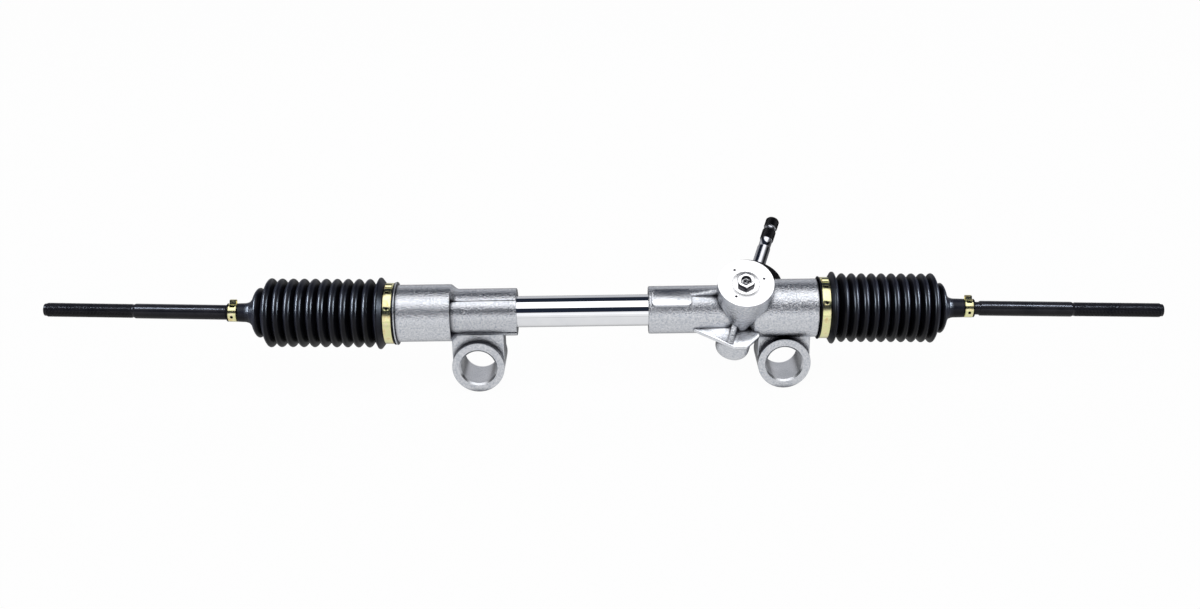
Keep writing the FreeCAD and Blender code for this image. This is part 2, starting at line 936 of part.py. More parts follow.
def yoke_liner():
    """The thin half-round pad between the yoke and the back of the rack."""
    inner = size("rack_radius") + size("yoke_gap")
    reach = size("yoke_radius") - 1
    outer = inner + size("liner_thickness")
    outer_round = span("liner_outer", outer, yoke_place - reach, yoke_place + reach)
    inner_round = span("liner_inner", inner, yoke_place - reach - 1, yoke_place + reach + 1)
    shell = cut("liner_shell", outer_round, inner_round)
    limit = cylinder(
        "liner_limit",
        size("yoke_radius") - 0.6,
        size("yoke_top"),
        on_yoke_axis(size("yoke_skirt") + 0.2),
        yoke_turn,
    )
    liner = doc.addObject("Part::Common", "yoke_liner")
    liner.Base = shell
    liner.Tool = limit
    return keep(liner, "yoke_liner")


seat_top = size("yoke_top")
seat_floor = seat_top - size("seat_washer")


def yoke_spring():
    wire_radius = size("spring_wire") / 2
    low = size("spring_pocket_floor") + wire_radius + 0.02
    high = seat_floor - wire_radius - 0.02
    turns = float(size("spring_turns")) - 1
    helix = doc.addObject("Part::Helix", "spring_path")
    helix.Radius = float(size("spring_pocket_radius") - wire_radius - 0.8)
    helix.Height = float(high - low)
    helix.Pitch = float(high - low) / turns
    put(helix, on_yoke_axis(low), yoke_turn)
    start = FreeCAD.Vector(helix.Radius.Value, 0, 0)
    section = circle_wire(
        "spring_section",
        wire_radius,
        on_yoke_axis(low) + yoke_turn.multVec(start),
        yoke_turn.multiply(FreeCAD.Rotation(X_AXIS, 90)),
    )
    spring = doc.addObject("Part::Sweep", "yoke_spring")
    spring.Sections = [section]
    spring.Spine = helix
    spring.Solid = True
    spring.Frenet = True
    return keep(spring, "yoke_spring")


def spring_seat():
    radius = size("spring_pocket_radius") - 0.3
    points = ring_points(Size(0.0), radius, Size(0.0), seat_top - seat_floor)
    return turned("spring_seat", points, on_yoke_axis(seat_floor), yoke_turn)


SEAL_PLACE = 3.0
SEAL_RADIUS = 1.1


def yoke_plug():
    radius = size("plug_radius")
    thick = size("plug_thickness")
    hole = size("screw_radius") + 0.02
    ring = size("plug_ring_radius")
    groove = radius - SEAL_RADIUS * 2 - 0.1
    low = Size(SEAL_PLACE - SEAL_RADIUS - 0.1)
    high = Size(SEAL_PLACE + SEAL_RADIUS + 0.1)
    points = [
        (hole, Size(0.0)),
        (radius, Size(0.0)),
        (radius, low),
        (groove, low),
        (groove, high),
        (radius, high),
        (radius, thick - 0.4),
        (radius - 0.4, thick),
        (ring + 0.5, thick),
        (ring, thick - 0.5),
        (ring - 0.5, thick),
        (hole, thick),
    ]
    return turned("yoke_plug", points, on_yoke_axis(boss_face - thick), yoke_turn)


def yoke_plug_seal():
    ring = doc.addObject("Part::Torus", "yoke_plug_seal")
    ring.Radius1 = float(size("plug_radius") - SEAL_RADIUS)
    ring.Radius2 = SEAL_RADIUS
    put(ring, on_yoke_axis(boss_face - size("plug_thickness") + SEAL_PLACE), yoke_turn)
    return keep(ring, "yoke_plug_seal")


def hexagon(across_flats):
    corner = across_flats / cosine(Size(30.0)) / 2
    return [
        (corner * math.sin(math.radians(60 * step)), corner * math.cos(math.radians(60 * step)))
        for step in range(6)
    ]


def hex_prism(name, across_flats, length, place, turn):
    """A six-sided bar with one corner on its own Y axis."""
    solid = doc.addObject("Part::Prism", name)
    solid.Polygon = 6
    circumradius = across_flats / 2 / cosine(Size(30.0))
    solid.Circumradius = float(circumradius)
    if isinstance(across_flats, Size):
        solid.setExpression("Circumradius", circumradius.text)
    solid.Height = float(length)
    if isinstance(length, Size):
        solid.setExpression("Height", length.text)
    return put(solid, place, turn.multiply(FreeCAD.Rotation(Z_AXIS, 90)))


def adjuster_screw():
    top = boss_face + size("nut_thickness") - size("screw_recess")
    blank = cylinder(
        "screw_blank", size("screw_radius"), top - seat_top, on_yoke_axis(seat_top), yoke_turn
    )
    key = hex_prism("screw_socket", size("screw_key"), 6.0, on_yoke_axis(top - 5.0), yoke_turn)
    return keep(cut("adjuster_screw", blank, key), "adjuster_screw")


def adjuster_lock_nut():
    thick = size("nut_thickness")
    blank = hex_prism("nut_blank", size("nut_across_flats"), thick, on_yoke_axis(boss_face), yoke_turn)
    corner = size("nut_across_flats") / 2 / cosine(Size(30.0))
    limit = cone(
        "nut_chamfer",
        corner + thick * 2 - 1.0,
        corner - 1.0,
        thick * 2,
        on_yoke_axis(boss_face - thick),
        yoke_turn,
    )
    chamfered = doc.addObject("Part::Common", "nut_chamfered")
    chamfered.Base = blank
    chamfered.Tool = limit
    hole_place = on_yoke_axis(boss_face - 1)
    hole = cylinder("nut_hole", size("screw_radius") + 0.02, thick + 2, hole_place, yoke_turn)
    return keep(cut("adjuster_lock_nut", chamfered, hole), "adjuster_lock_nut")


# Pinion shaft: own Z is the pinion axis, the teeth lie about its origin

FLANK_POINTS = 5
TOOTH_SECTIONS = 9


def involute(angle):
    return math.tan(angle) - angle


def pinion_section(height):
    """The transverse outline of the leaves at one height, turned by the helix."""
    normal_angle = math.radians(size("pressure_angle"))
    transverse_angle = math.atan(math.tan(normal_angle) / math.cos(math.radians(lean)))
    pitch = float(pitch_radius)
    base = pitch * math.cos(transverse_angle)
    shift = float(size("profile_shift"))
    module = float(tooth_module)
    thickness = module * (math.pi / 2 + 2 * shift * math.tan(normal_angle))
    thickness -= float(size("tooth_play"))
    half_pitch_angle = thickness / math.cos(math.radians(lean)) / (2 * pitch)
    root = pitch - (1.25 - shift) * module
    tip = float(size("pinion_tip_radius"))
    lowest = base * 1.001
    radii = [
        lowest + (tip - lowest) * step / (FLANK_POINTS - 1) for step in range(FLANK_POINTS)
    ]
    half_angles = [
        half_pitch_angle + involute(transverse_angle) - involute(math.acos(base / radius))
        for radius in radii
    ]
    twist = -math.tan(math.radians(lean)) / pitch * height

    def place(radius, angle):
        # the middle of the first leaf faces the yoke, which is the own -Y direction
        turned_angle = -math.pi / 2 + twist + angle
        return FreeCAD.Vector(
            radius * math.cos(turned_angle), radius * math.sin(turned_angle), height
        )

    edges = []
    for leaf in range(PINION_LEAVES):
        middle = 2 * math.pi * leaf / PINION_LEAVES
        following = 2 * math.pi * (leaf + 1) / PINION_LEAVES
        rising = [place(radius, middle - half) for radius, half in zip(radii, half_angles)]
        falling = [place(radius, middle + half) for radius, half in zip(radii, half_angles)][::-1]
        root_rise = place(root, middle - half_angles[0])
        root_fall = place(root, middle + half_angles[0])
        next_root = place(root, following - half_angles[0])
        flank_up = Part.BSplineCurve()
        flank_up.interpolate(rising)
        flank_down = Part.BSplineCurve()
        flank_down.interpolate(falling)
        edges += [
            Part.makeLine(root_rise, rising[0]),
            flank_up.toShape(),
            Part.makeLine(rising[-1], falling[0]),
            flank_down.toShape(),
            Part.makeLine(falling[-1], root_fall),
            Part.makeLine(root_fall, next_root),
        ]
    return Part.Wire(edges)


def pinion_shaft():
    half = float(size("face_half"))
    heights = [-half + 2 * half * step / (TOOTH_SECTIONS - 1) for step in range(TOOTH_SECTIONS)]
    teeth = shape_feature(
        "pinion_teeth", Part.makeLoft([pinion_section(height) for height in heights], True, False)
    )
    put(teeth, pinion_origin, pinion_turn)
    journal = size("lower_journal_radius")
    collar = size("collar_radius")
    bore = size("bearing_bore_radius")
    shaft = size("shaft_radius")
    neck = size("shaft_neck_radius")
    spline = size("spline_radius")
    face = size("face_half")
    bearing = size("bearing_start")
    bearing_end = bearing + size("bearing_width")
    clip = size("circlip_thickness")
    clamp = size("clamp_groove_place")
    clamp_half = size("clamp_groove_width") / 2
    end = size("shaft_end")
    core = pitch_radius - (1.3 - size("profile_shift")) * tooth_module
    foot = size("lower_journal_end")
    points = [
        (Size(0.0), -foot),
        (journal - 1, -foot),
        (journal, -foot + 1),
        (journal, -face),
        (core, -face + 0.5),
        (core, face - 0.5),
        (collar, face),
        (collar, bearing),
        (bore, bearing),
        (bore, bearing_end),
        (bore - 0.7, bearing_end),
        (bore - 0.7, bearing_end + clip),
        (bore, bearing_end + clip),
        (bore, bearing_end + clip + 1.0),
        (shaft, bearing_end + clip + 1.8),
        (shaft, size("neck_start")),
        (neck, size("neck_start") + 0.6),
        (neck, size("spline_start") - 0.6),
        (spline, size("spline_start")),
        (spline, clamp - clamp_half),
        (spline - 1.2, clamp - clamp_half + 1.2),
        (spline - 1.2, clamp + clamp_half - 1.2),
        (spline, clamp + clamp_half),
        (spline, end - 0.8),
        (spline - 0.8, end),
        (Size(0.0), end),
    ]
    # the sketch's own Y axis is laid on the pinion axis
    sketch = doc.addObject("Sketcher::SketchObject", "shaft_sketch")
    put(sketch, pinion_origin, pinion_turn.multiply(FreeCAD.Rotation(X_AXIS, 90)))
    draw(sketch, points)
    turning = doc.addObject("Part::Revolution", "shaft_turning")
    turning.Source = sketch
    turning.Base = pinion_origin
    turning.Axis = pinion_axis
    turning.Angle = 360
    turning.Solid = True
    return keep(fused("pinion_shaft", [turning, teeth]), "pinion_shaft")


# Upper bearing, circlips, seal, cap and lower bush

bearing_start = size("bearing_start")
bearing_width = size("bearing_width")
bearing_inner = size("bearing_bore_radius")
bearing_outer = size("bearing_outer_radius")
ball_ring_radius = (bearing_inner + bearing_outer) / 2
BALL_GAP = 0.05


def race_groove(name):
    groove = doc.addObject("Part::Torus", name)
    groove.Radius1 = float(ball_ring_radius)
    groove.setExpression("Radius1", ball_ring_radius.text)
    groove.Radius2 = float(size("bearing_ball_radius") + BALL_GAP)
    groove.setExpression("Radius2", (size("bearing_ball_radius") + BALL_GAP).text)
    return put(groove, on_pinion_axis(bearing_start + bearing_width / 2), pinion_turn)


def tube_solid(name, inner, outer, start, length):
    shell = cylinder(name + "_outer", outer, length, on_pinion_axis(start), pinion_turn)
    hole = cylinder(name + "_hole", inner, length + 2, on_pinion_axis(start - 1), pinion_turn)
    return cut(name, shell, hole)


def bearing():
    step = size("race_step")
    outer_ring = tube_solid(
        "outer_ring", bearing_outer - step, bearing_outer, bearing_start, bearing_width
    )
    inner_ring = tube_solid(
        "inner_ring", bearing_inner + 0.01, bearing_inner + step, bearing_start, bearing_width
    )
    keep(cut("bearing_outer_race", outer_ring, race_groove("outer_groove")), "bearing_outer_race")
    keep(cut("bearing_inner_race", inner_ring, race_groove("inner_groove")), "bearing_inner_race")
    middle = on_pinion_axis(bearing_start + bearing_width / 2)
    count = int(size("bearing_balls"))
    ball_radius = size("bearing_ball_radius")
    balls = []
    pockets = []
    for index in range(count):
        angle = 2 * math.pi * index / count
        place = middle + pinion_turn.multVec(
            FreeCAD.Vector(math.cos(angle), math.sin(angle), 0) * float(ball_ring_radius)
        )
        for group, radius in ((balls, ball_radius), (pockets, ball_radius + 0.1)):
            ball = doc.addObject("Part::Sphere", "bearing_ball")
            ball.Radius = float(radius)
            ball.setExpression("Radius", radius.text)
            group.append(put(ball, place, pinion_turn))
    ball_set = doc.addObject("Part::Compound", "bearing_balls")
    ball_set.Links = balls
    keep(ball_set, "bearing_balls")
    half_cage = size("bearing_ball_radius") + 0.9
    cage_ring = tube_solid(
        "cage_ring",
        ball_ring_radius - 1.1,
        ball_ring_radius + 1.1,
        bearing_start + bearing_width / 2 - half_cage,
        half_cage * 2,
    )
    keep(cut("bearing_cage", cage_ring, fused("cage_pockets", pockets)), "bearing_cage")


def open_ring(label, inner, outer, start, gap_degrees):
    """A spring clip: a flat ring with a gap."""
    length = size("circlip_thickness")
    shell = cylinder(label + "_outer", outer, length, on_pinion_axis(start), pinion_turn)
    shell.Angle = 360 - gap_degrees
    hole = cylinder(label + "_hole", inner, length + 2, on_pinion_axis(start - 1), pinion_turn)
    return keep(cut(label, shell, hole), label)


def circlips():
    place = bearing_start + bearing_width
    open_ring("bearing_circlip", bearing_outer - 2.6, bearing_outer + 1.2, place, 24)
    open_ring("shaft_circlip", bearing_inner - 0.65, bearing_inner + 2.0, place, 60)


def pinion_seal():
    start = bearing_start + bearing_width + size("circlip_thickness") + 1.2
    width = size("seal_width")
    lip = size("shaft_radius") + size("running_gap")
    points = [
        (lip + 4.0, Size(0.0)),
        (bearing_outer, Size(0.0)),
        (bearing_outer, width),
        (lip + 1.0, width),
        (lip, width - 2.0),
        (lip + 1.0, width - 4.0),
        (lip + 2.0, width - 2.0),
        (lip + 4.0, width - 2.0),
    ]
    return turned("pinion_seal", points, on_pinion_axis(start), pinion_turn)


def pinion_dust_cap():
    top = size("cap_top")
    depth = size("cap_depth")
    outer = size("cap_radius")
    inner = tower_radius + 0.05
    hole = size("shaft_radius") + 0.35
    seat = tower_top - (top - depth)
    points = [
        (inner, Size(0.0)),
        (outer - 0.8, Size(0.0)),
        (outer, Size(0.8)),
        (outer, depth - 1.2),
        (outer - 1.2, depth),
        (hole, depth),
        (hole, seat),
        (inner, seat),
    ]
    return turned("pinion_dust_cap", points, on_pinion_axis(top - depth), pinion_turn)


def lower_bush():
    inner = size("lower_journal_radius") + size("running_gap")
    outer = size("lower_journal_radius") + size("bush_wall")
    length = size("lower_journal_end") - size("face_half") - 1
    points = ring_points(inner, outer, Size(0.0), length)
    return turned("lower_bush", points, on_pinion_axis(-size("lower_journal_end")), pinion_turn)


# Ball joints and tie rods: distances are measured outward from the ball's centre

def outward(side, ball, distance):
    sign = 1 if side == "right" else -1
    return rack_point(ball + distance * sign)


def side_turn(side):
    return along_rack if side == "right" else against_rack


def ball_joint(side, ball):
    turn = side_turn(side)
    thread = size("rack_thread_radius") + 0.02
    seat_radius = size("seat_radius")
    socket_radius = size("socket_radius")
    back = size("socket_back")
    mouth = size("socket_mouth")
    lip = mouth - 2.0
    body = turned(
        side + "_ball_socket",
        [
            (thread, -back),
            (socket_radius, -back),
            (socket_radius, mouth - 3),
            (socket_radius - 3.5, mouth),
            (seat_radius - 3.4, mouth),
            (seat_radius - 3.4, lip),
            (seat_radius + 0.02, lip),
            (seat_radius + 0.02, -seat_back),
            (thread, -seat_back),
        ],
        rack_point(ball),
        turn,
    )
    doc.recompute()
    pin_radius = size("lock_pin_radius")
    hole_radius = pin_radius + 0.02
    hole_reach = socket_radius * 2
    cut_circle(
        body, side + "_socket_pin_hole", [(Size(0.0), -back, hole_radius)], hole_reach, "XZ_Plane", False
    )

    nut_width = size("socket_nut_width")
    nut = new_body(side + "_socket_lock_nut", outward(side, ball, -socket_inboard), turn)
    nut_points = hexagon(size("socket_nut_flats"))
    nut_sketch = outline(nut, side + "_nut_outline", nut_points, "XY_Plane")
    nut_pad = nut.newObject("PartDesign::Pad", side + "_nut_pad")
    nut_pad.Profile = nut_sketch
    nut_pad.Length = float(nut_width)
    nut_pad.setExpression("Length", nut_width.text)
    doc.recompute()
    cut_circle(nut, side + "_nut_hole", [(Size(0.0), Size(0.0), thread)], nut_width * 3)
    cut_circle(
        nut, side + "_nut_pin_hole", [(Size(0.0), nut_width, hole_radius)], hole_reach, "XZ_Plane", False
    )

    # the pin lies across the face where socket and nut meet
    pin_length = socket_radius - thread - 1.4
    pin_place = outward(side, ball, -back) + Y_AXIS * float(thread + 0.4)
    pin = cylinder(side + "_socket_lock_pin", pin_radius, pin_length, pin_place, toward_back)
    keep(pin, side + "_socket_lock_pin")

    blank = cylinder(
        side + "_seat_blank",
        seat_radius,
        seat_back + lip - 0.1,
        outward(side, ball, -seat_back),
        turn,
    )
    hollow = doc.addObject("Part::Sphere", side + "_seat_hollow")
    hollow.Radius = float(size("ball_radius") + 0.05)
    hollow.setExpression("Radius", (size("ball_radius") + 0.05).text)
    put(hollow, rack_point(ball))
    keep(cut(side + "_ball_seat", blank, hollow), side + "_ball_seat")

    gap = size("seat_spring_gap")
    turned(
        side + "_seat_spring",
        [
            (Size(7.2), Size(0.02)),
            (Size(8.6), Size(0.02)),
            (Size(5.6), gap - 0.02),
            (Size(4.2), gap - 0.02),
        ],
        outward(side, ball, -seat_back - gap),
        turn,
    )


def tie_rod(side, ball, tilt):
    neck = size("rod_neck_radius")
    shank = size("rod_shank_radius")
    body_radius = size("rod_body_radius")
    thread = size("rod_thread_radius")
    start = size("rod_body_start")
    thread_start = size("rod_thread_start")
    length = size("rod_length")
    turn = FreeCAD.Rotation(Y_AXIS, float(tilt)).multiply(side_turn(side))
    points = [
        (Size(0.0), size("ball_radius") * 0.5),
        (neck, size("ball_radius") * 0.5),
        (neck, Size(20.0)),
        (shank, Size(24.0)),
        (shank, start - 1.0),
        (body_radius, start),
        (body_radius, thread_start - 0.5),
        (thread, thread_start),
        (thread, length - 1.2),
        (thread - 1.2, length),
        (Size(0.0), length),
    ]
    body = turned(side + "_tie_rod", points, rack_point(ball), turn)
    doc.recompute()
    ball_feature = body.newObject("PartDesign::AdditiveSphere", side + "_ball")
    ball_feature.Radius = float(size("ball_radius"))
    ball_feature.setExpression("Radius", size("ball_radius").text)
    doc.recompute()
    body.Tip = ball_feature
    return body


# Boots and their clamps: the small clamp lies in a shallow groove around the neck

NECK_GROOVE = 0.7


def boot_outline(cuff_start, first_peak, last_peak, small_peak, neck_start, neck_end, sign):
    """The wall of a boot: outer surface outward, then the inner surface back to the cuff."""

    def place(x):
        return (x - cuff_start) * sign

    wall = size("boot_wall")
    count = int(size("boot_peaks"))
    peak = size("peak_radius")
    valley = size("valley_radius")
    cuff = size("cuff_radius")
    pitch = (place(last_peak) - place(first_peak)) / (count - 1)
    cuff_end = size("large_clamp_inset") + size("large_clamp_width") + 0.1
    outer = [
        (size("cuff_lip_radius"), Size(0.0)),
        (size("cuff_lip_radius"), Size(0.7)),
        (cuff, Size(1.5)),
        (cuff, cuff_end),
        (size("first_peak_radius"), place(first_peak) - 0.8),
        (size("first_peak_radius"), place(first_peak) + 0.8),
    ]
    for index in range(1, count):
        middle = place(first_peak) + pitch * index
        outer += [
            (valley, middle - pitch / 2),
            (peak, middle - 0.9),
            (peak, middle + 0.9),
        ]
    small = place(small_peak)
    neck_radius = size("neck_radius")
    outer += [
        (size("last_valley_radius"), place(last_peak) + (small - place(last_peak)) * 0.55),
        (size("last_peak_radius"), small - 0.9),
        (size("last_peak_radius"), small + 0.9),
        (neck_radius + 1.6, place(neck_start) - 1.0),
        (neck_radius + 0.5, place(neck_start) + 4.0),
        (neck_radius + 0.5, place(neck_end) - 11.0),
        (neck_radius - NECK_GROOVE, place(neck_end) - 10.5),
        (neck_radius - NECK_GROOVE, place(neck_end) - 1.5),
        (neck_radius + 0.2, place(neck_end) - 1.2),
        (neck_radius + 0.2, place(neck_end)),
    ]
    bore = size("rod_shank_radius") + 0.35
    inner = [(bore, place(neck_end)), (bore, place(neck_start) - 2.0)]
    inner += [
        (size("last_peak_radius") - wall, small + 0.4),
        (size("last_peak_radius") - wall, small - 0.4),
        (size("last_valley_radius") - wall, place(last_peak) + (small - place(last_peak)) * 0.55),
    ]
    for index in range(count - 1, 0, -1):
        middle = place(first_peak) + pitch * index
        inner += [(peak - wall, middle), (valley - wall, middle - pitch / 2)]
    cuff_bore = spigot_radius + 0.35
    inner += [
        (size("first_peak_radius") - wall, place(first_peak)),
        (cuff_bore, place(first_peak) - 2.6),
        (cuff_bore, Size(0.0)),
    ]
    return outer + inner


def clamp_angle(side, climb):
    """A clamp's own angle at a place that is some degrees up from the front of the gear."""
    return float(climb) - 90.0 if side == "left" else 270.0 - float(climb)


def strap_clamp(label, side, band, ear, strap, place):
    """A strap closed over its own end, drawn tight by a crimped ear and held by a hook in a slot."""
    inner, start, width = band
    ear_height, ear_climb = ear
    strap_end, strap_root, slot_climb, hole_climb = strap
    thick = size("clamp_thickness")
    middle = start + width / 2

    def at(angle, radius, height):
        turn = FreeCAD.Rotation(Z_AXIS, angle)
        spot = turn.multVec(FreeCAD.Vector(float(radius), 0, float(height)))
        return place.multiply(FreeCAD.Placement(spot, turn))

    def seated(solid, own_place):
        solid.Placement = own_place
        return solid

    outer = seated(cylinder(label + "_outside", inner + thick, width, ORIGIN), at(0, 0, start))
    first = min(clamp_angle(side, strap_end), clamp_angle(side, strap_root))
    overlap = cylinder(label + "_overlap", inner + thick * 2, width - 0.6, ORIGIN)
    overlap.Angle = strap_root - strap_end
    seated(overlap, at(first, 0, start + 0.3))

    ear_width = size("clamp_ear_width")
    foot = size("clamp_ear_foot")
    sink = inner + thick / 2

    def leg(reach):
        rise = math.sqrt(float(sink) ** 2 - float(reach) ** 2)
        return Size(rise, "sqrt(%s ^ 2 - %s ^ 2)" % (words(sink), words(reach)))

    top = inner + thick + ear_height
    hollow = foot - thick
    bridge = [
        (leg(foot), -foot), (top - thick, -foot * 0.8), (top, -foot * 0.45), (top - 0.5, Size(0.0)),
        (top, foot * 0.45), (top - thick, foot * 0.8), (leg(foot), foot), (leg(hollow), hollow),
        (top - thick * 1.6, hollow * 0.7), (top - thick * 1.6, -hollow * 0.7), (leg(hollow), -hollow),
    ]
    ear_angle = clamp_angle(side, ear_climb)
    loop = prism(label + "_ear", bridge, ear_width, ORIGIN)
    loop.Base.Placement = at(ear_angle, 0, middle - ear_width / 2)

    bore = seated(cylinder(label + "_bore", inner, width + 4, ORIGIN), at(0, 0, start - 2))
    slot_angle = clamp_angle(side, slot_climb)
    slot = block(label + "_slot", 6 * thick, Size(2.4), ear_width - 1.2, ORIGIN)
    corner = at(slot_angle, inner - thick, middle - (ear_width - 1.2) / 2)
    seated(slot, corner.multiply(FreeCAD.Placement(FreeCAD.Vector(0, -1.2, 0), FreeCAD.Rotation())))
    hole = cylinder(label + "_hole", Size(1.6), 6 * thick, ORIGIN)
    hole_place = at(clamp_angle(side, hole_climb), inner - thick, middle)
    seated(hole, hole_place.multiply(FreeCAD.Placement(ORIGIN, FreeCAD.Rotation(Y_AXIS, 90))))
    solids = fused(label + "_strap", [outer, overlap, loop])
    openings = fused(label + "_openings", [bore, slot, hole])
    keep(cut(label, solids, openings), label)


def boot(side, cuff_start, ball, tilt, places):
    first_peak, last_peak, small_peak, neck_start, neck_end = places
    sign = 1 if side == "right" else -1
    middle = (neck_start + neck_end) / 2
    rod_rise = abs(float(middle) - float(ball)) * math.sin(math.radians(tilt))
    boot_tilt = math.degrees(math.atan2(rod_rise, abs(float(middle) - float(cuff_start))))
    turn = FreeCAD.Rotation(Y_AXIS, boot_tilt).multiply(side_turn(side))
    base = rack_point(cuff_start)
    points = boot_outline(cuff_start, first_peak, last_peak, small_peak, neck_start, neck_end, sign)
    turned(side + "_boot", points, base, turn)

    strap_clamp(
        side + "_large_clamp",
        side,
        (size("cuff_radius") + 0.03, size("large_clamp_inset"), size("large_clamp_width")),
        (size("large_ear_height"), size("large_ear_climb")),
        (5.0, 75.0, 62.5, 30.0),
        FreeCAD.Placement(base, turn),
    )
    neck_bore = size("neck_radius") - NECK_GROOVE + 0.3
    small_end = (neck_end - ball) * sign - size("small_clamp_inset")
    small_start = small_end - size("small_clamp_width")
    rod_turn = FreeCAD.Rotation(Y_AXIS, float(tilt)).multiply(side_turn(side))
    strap_clamp(
        side + "_small_clamp",
        side,
        (neck_bore, small_start, size("small_clamp_width")),
        (size("small_ear_height"), size("small_ear_climb")),
        (-40.0, 70.0, 58.0, -7.0),
        FreeCAD.Placement(rack_point(ball), rod_turn),
    )


# The whole gear

pinion_housing()
end_housing()
centre_tube()
rack_bush()
rack_bar()
rack_yoke()
yoke_liner()
yoke_spring()
spring_seat()
yoke_plug()
yoke_plug_seal()
adjuster_screw()
adjuster_lock_nut()
pinion_shaft()
bearing()
circlips()
pinion_seal()
pinion_dust_cap()
lower_bush()
cuff_gap = size("cuff_gap")
NECK_PLACES = ("last_peak", "small_peak", "neck_start", "neck_end")
for side, ball, cuff_start in (
    ("left", left_ball, left_flange_end - cuff_gap),
    ("right", right_ball, right_barrel_end + cuff_gap),
):
    tilt = size(side + "_tilt")
    ball_joint(side, ball)
    tie_rod(side, ball, tilt)
    sign = 1 if side == "right" else -1
    places = [cuff_start + size(side + "_first_peak") * sign]
    places += [ball + size(side + "_" + word) * sign for word in NECK_PLACES]
    boot(side, cuff_start, ball, tilt, places)
doc.recompute()

failed = [item.Name for item in doc.Objects if "Invalid" in item.State or "Error" in item.State]
for item in finished:
    if item.Shape.isNull() or not item.Shape.isValid():
        failed.append(item.Label)
if failed:
    raise RuntimeError("these did not build: " + ", ".join(failed))

os.makedirs("parts", exist_ok=True)
for item in finished:
    item.Shape.exportStep("parts/%s.step" % item.Label)
    print("%-26s %10.1f mm3  %d solid" % (item.Label, item.Shape.Volume, len(item.Shape.Solids)))
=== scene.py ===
import math

import bmesh
import bpy
from mathutils import Matrix, Vector


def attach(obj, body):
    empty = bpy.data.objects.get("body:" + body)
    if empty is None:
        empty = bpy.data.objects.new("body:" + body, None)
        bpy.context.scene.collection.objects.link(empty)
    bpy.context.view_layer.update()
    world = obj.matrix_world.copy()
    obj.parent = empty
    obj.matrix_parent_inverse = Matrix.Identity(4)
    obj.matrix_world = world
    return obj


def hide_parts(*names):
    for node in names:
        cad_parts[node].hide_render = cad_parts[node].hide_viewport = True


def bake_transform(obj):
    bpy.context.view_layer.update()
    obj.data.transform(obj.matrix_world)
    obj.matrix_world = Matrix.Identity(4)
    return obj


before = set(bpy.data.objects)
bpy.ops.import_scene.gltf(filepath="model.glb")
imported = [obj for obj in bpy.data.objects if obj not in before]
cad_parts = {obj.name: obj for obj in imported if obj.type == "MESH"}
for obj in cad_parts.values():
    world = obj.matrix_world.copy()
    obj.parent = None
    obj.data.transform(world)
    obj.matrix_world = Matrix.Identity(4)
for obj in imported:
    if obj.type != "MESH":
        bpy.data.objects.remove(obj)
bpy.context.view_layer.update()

# Manual rack-and-pinion steering gear. All sizes are millimetres until a piece is finished, and
# the origin is the centre of the pinion-side mounting bore.

MILLIMETRE = 0.001
AXIS_HEIGHT = 52.0
FAR_EYE = -311.0
YOKE_PLACE = -41.2
YOKE_SLOPE = math.radians(55.0)
PINION_LEAN = math.radians(18.5)
PINION_OFFSET = 14.977
ROUND = 96
MERGE = 1e-4

RACK_LEFT_BALL = -447.4
RACK_RIGHT_BALL = 79.0
ROD_TILT = {"left": math.radians(1.8), "right": math.radians(1.55)}


# Frames: each has its own Z along the named axis

def turn_to_rack(side):
    """Own Z outward along the rack: -X on the left, +X on the right."""
    return Matrix.Rotation(math.radians(90 if side == "right" else -90), 4, "Y")


def rack_frame(x, side="right"):
    return Matrix.Translation((x, 0.0, AXIS_HEIGHT)) @ turn_to_rack(side)


yoke_turn = Matrix.Rotation(math.pi / 2 - YOKE_SLOPE, 4, "X")
yoke_axis = yoke_turn @ Vector((0, 0, 1))
yoke_frame = Matrix.Translation((YOKE_PLACE, 0.0, AXIS_HEIGHT)) @ yoke_turn
pinion_turn = Matrix.Rotation(-PINION_LEAN, 4, yoke_axis) @ Matrix.Rotation(-YOKE_SLOPE, 4, "X")
pinion_origin = Vector((YOKE_PLACE, 0.0, AXIS_HEIGHT)) - yoke_axis * PINION_OFFSET
pinion_frame = Matrix.Translation(pinion_origin) @ pinion_turn
pinion_axis = pinion_turn @ Vector((0, 0, 1))


def ball_place(side):
    return RACK_RIGHT_BALL if side == "right" else RACK_LEFT_BALL


def rod_frame(side):
    """Own Z out along the tie rod from the ball's centre."""
    tilt = Matrix.Rotation(ROD_TILT[side], 4, "Y")
    return Matrix.Translation((ball_place(side), 0.0, AXIS_HEIGHT)) @ tilt @ turn_to_rack(side)


# Mesh helpers

def arc(radius, start, sweep, steps):
    """Points on a round stretch about the origin, with both ends, from angles in degrees."""
    angles = [math.radians(start + sweep * step / steps) for step in range(steps + 1)]
    return [(radius * math.cos(angle), radius * math.sin(angle)) for angle in angles]


def revolve(mesh, profile, place, around=ROUND, closed=True):
    """Turns (radius, height) points about the frame's own Z. A closed profile is a ring's section."""
    rings = []
    for radius, height in profile:
        points = [(0.0, 0.0)] if radius < 1e-6 else arc(radius, 0.0, 360.0, around)[:-1]
        rings.append([mesh.verts.new(place @ Vector((x, y, height))) for x, y in points])
    pairs = list(zip(rings, rings[1:]))
    if closed:
        pairs.append((rings[-1], rings[0]))
    for low, high in pairs:
        if len(low) == 1 and len(high) == 1:
            continue
        for step in range(around):
            after = (step + 1) % around
            corners = []
            for ring, index in ((low, step), (low, after), (high, after), (high, step)):
                vert = ring[index % len(ring)]
                if vert not in corners:
                    corners.append(vert)
            if len(corners) > 2:
                mesh.faces.new(corners)


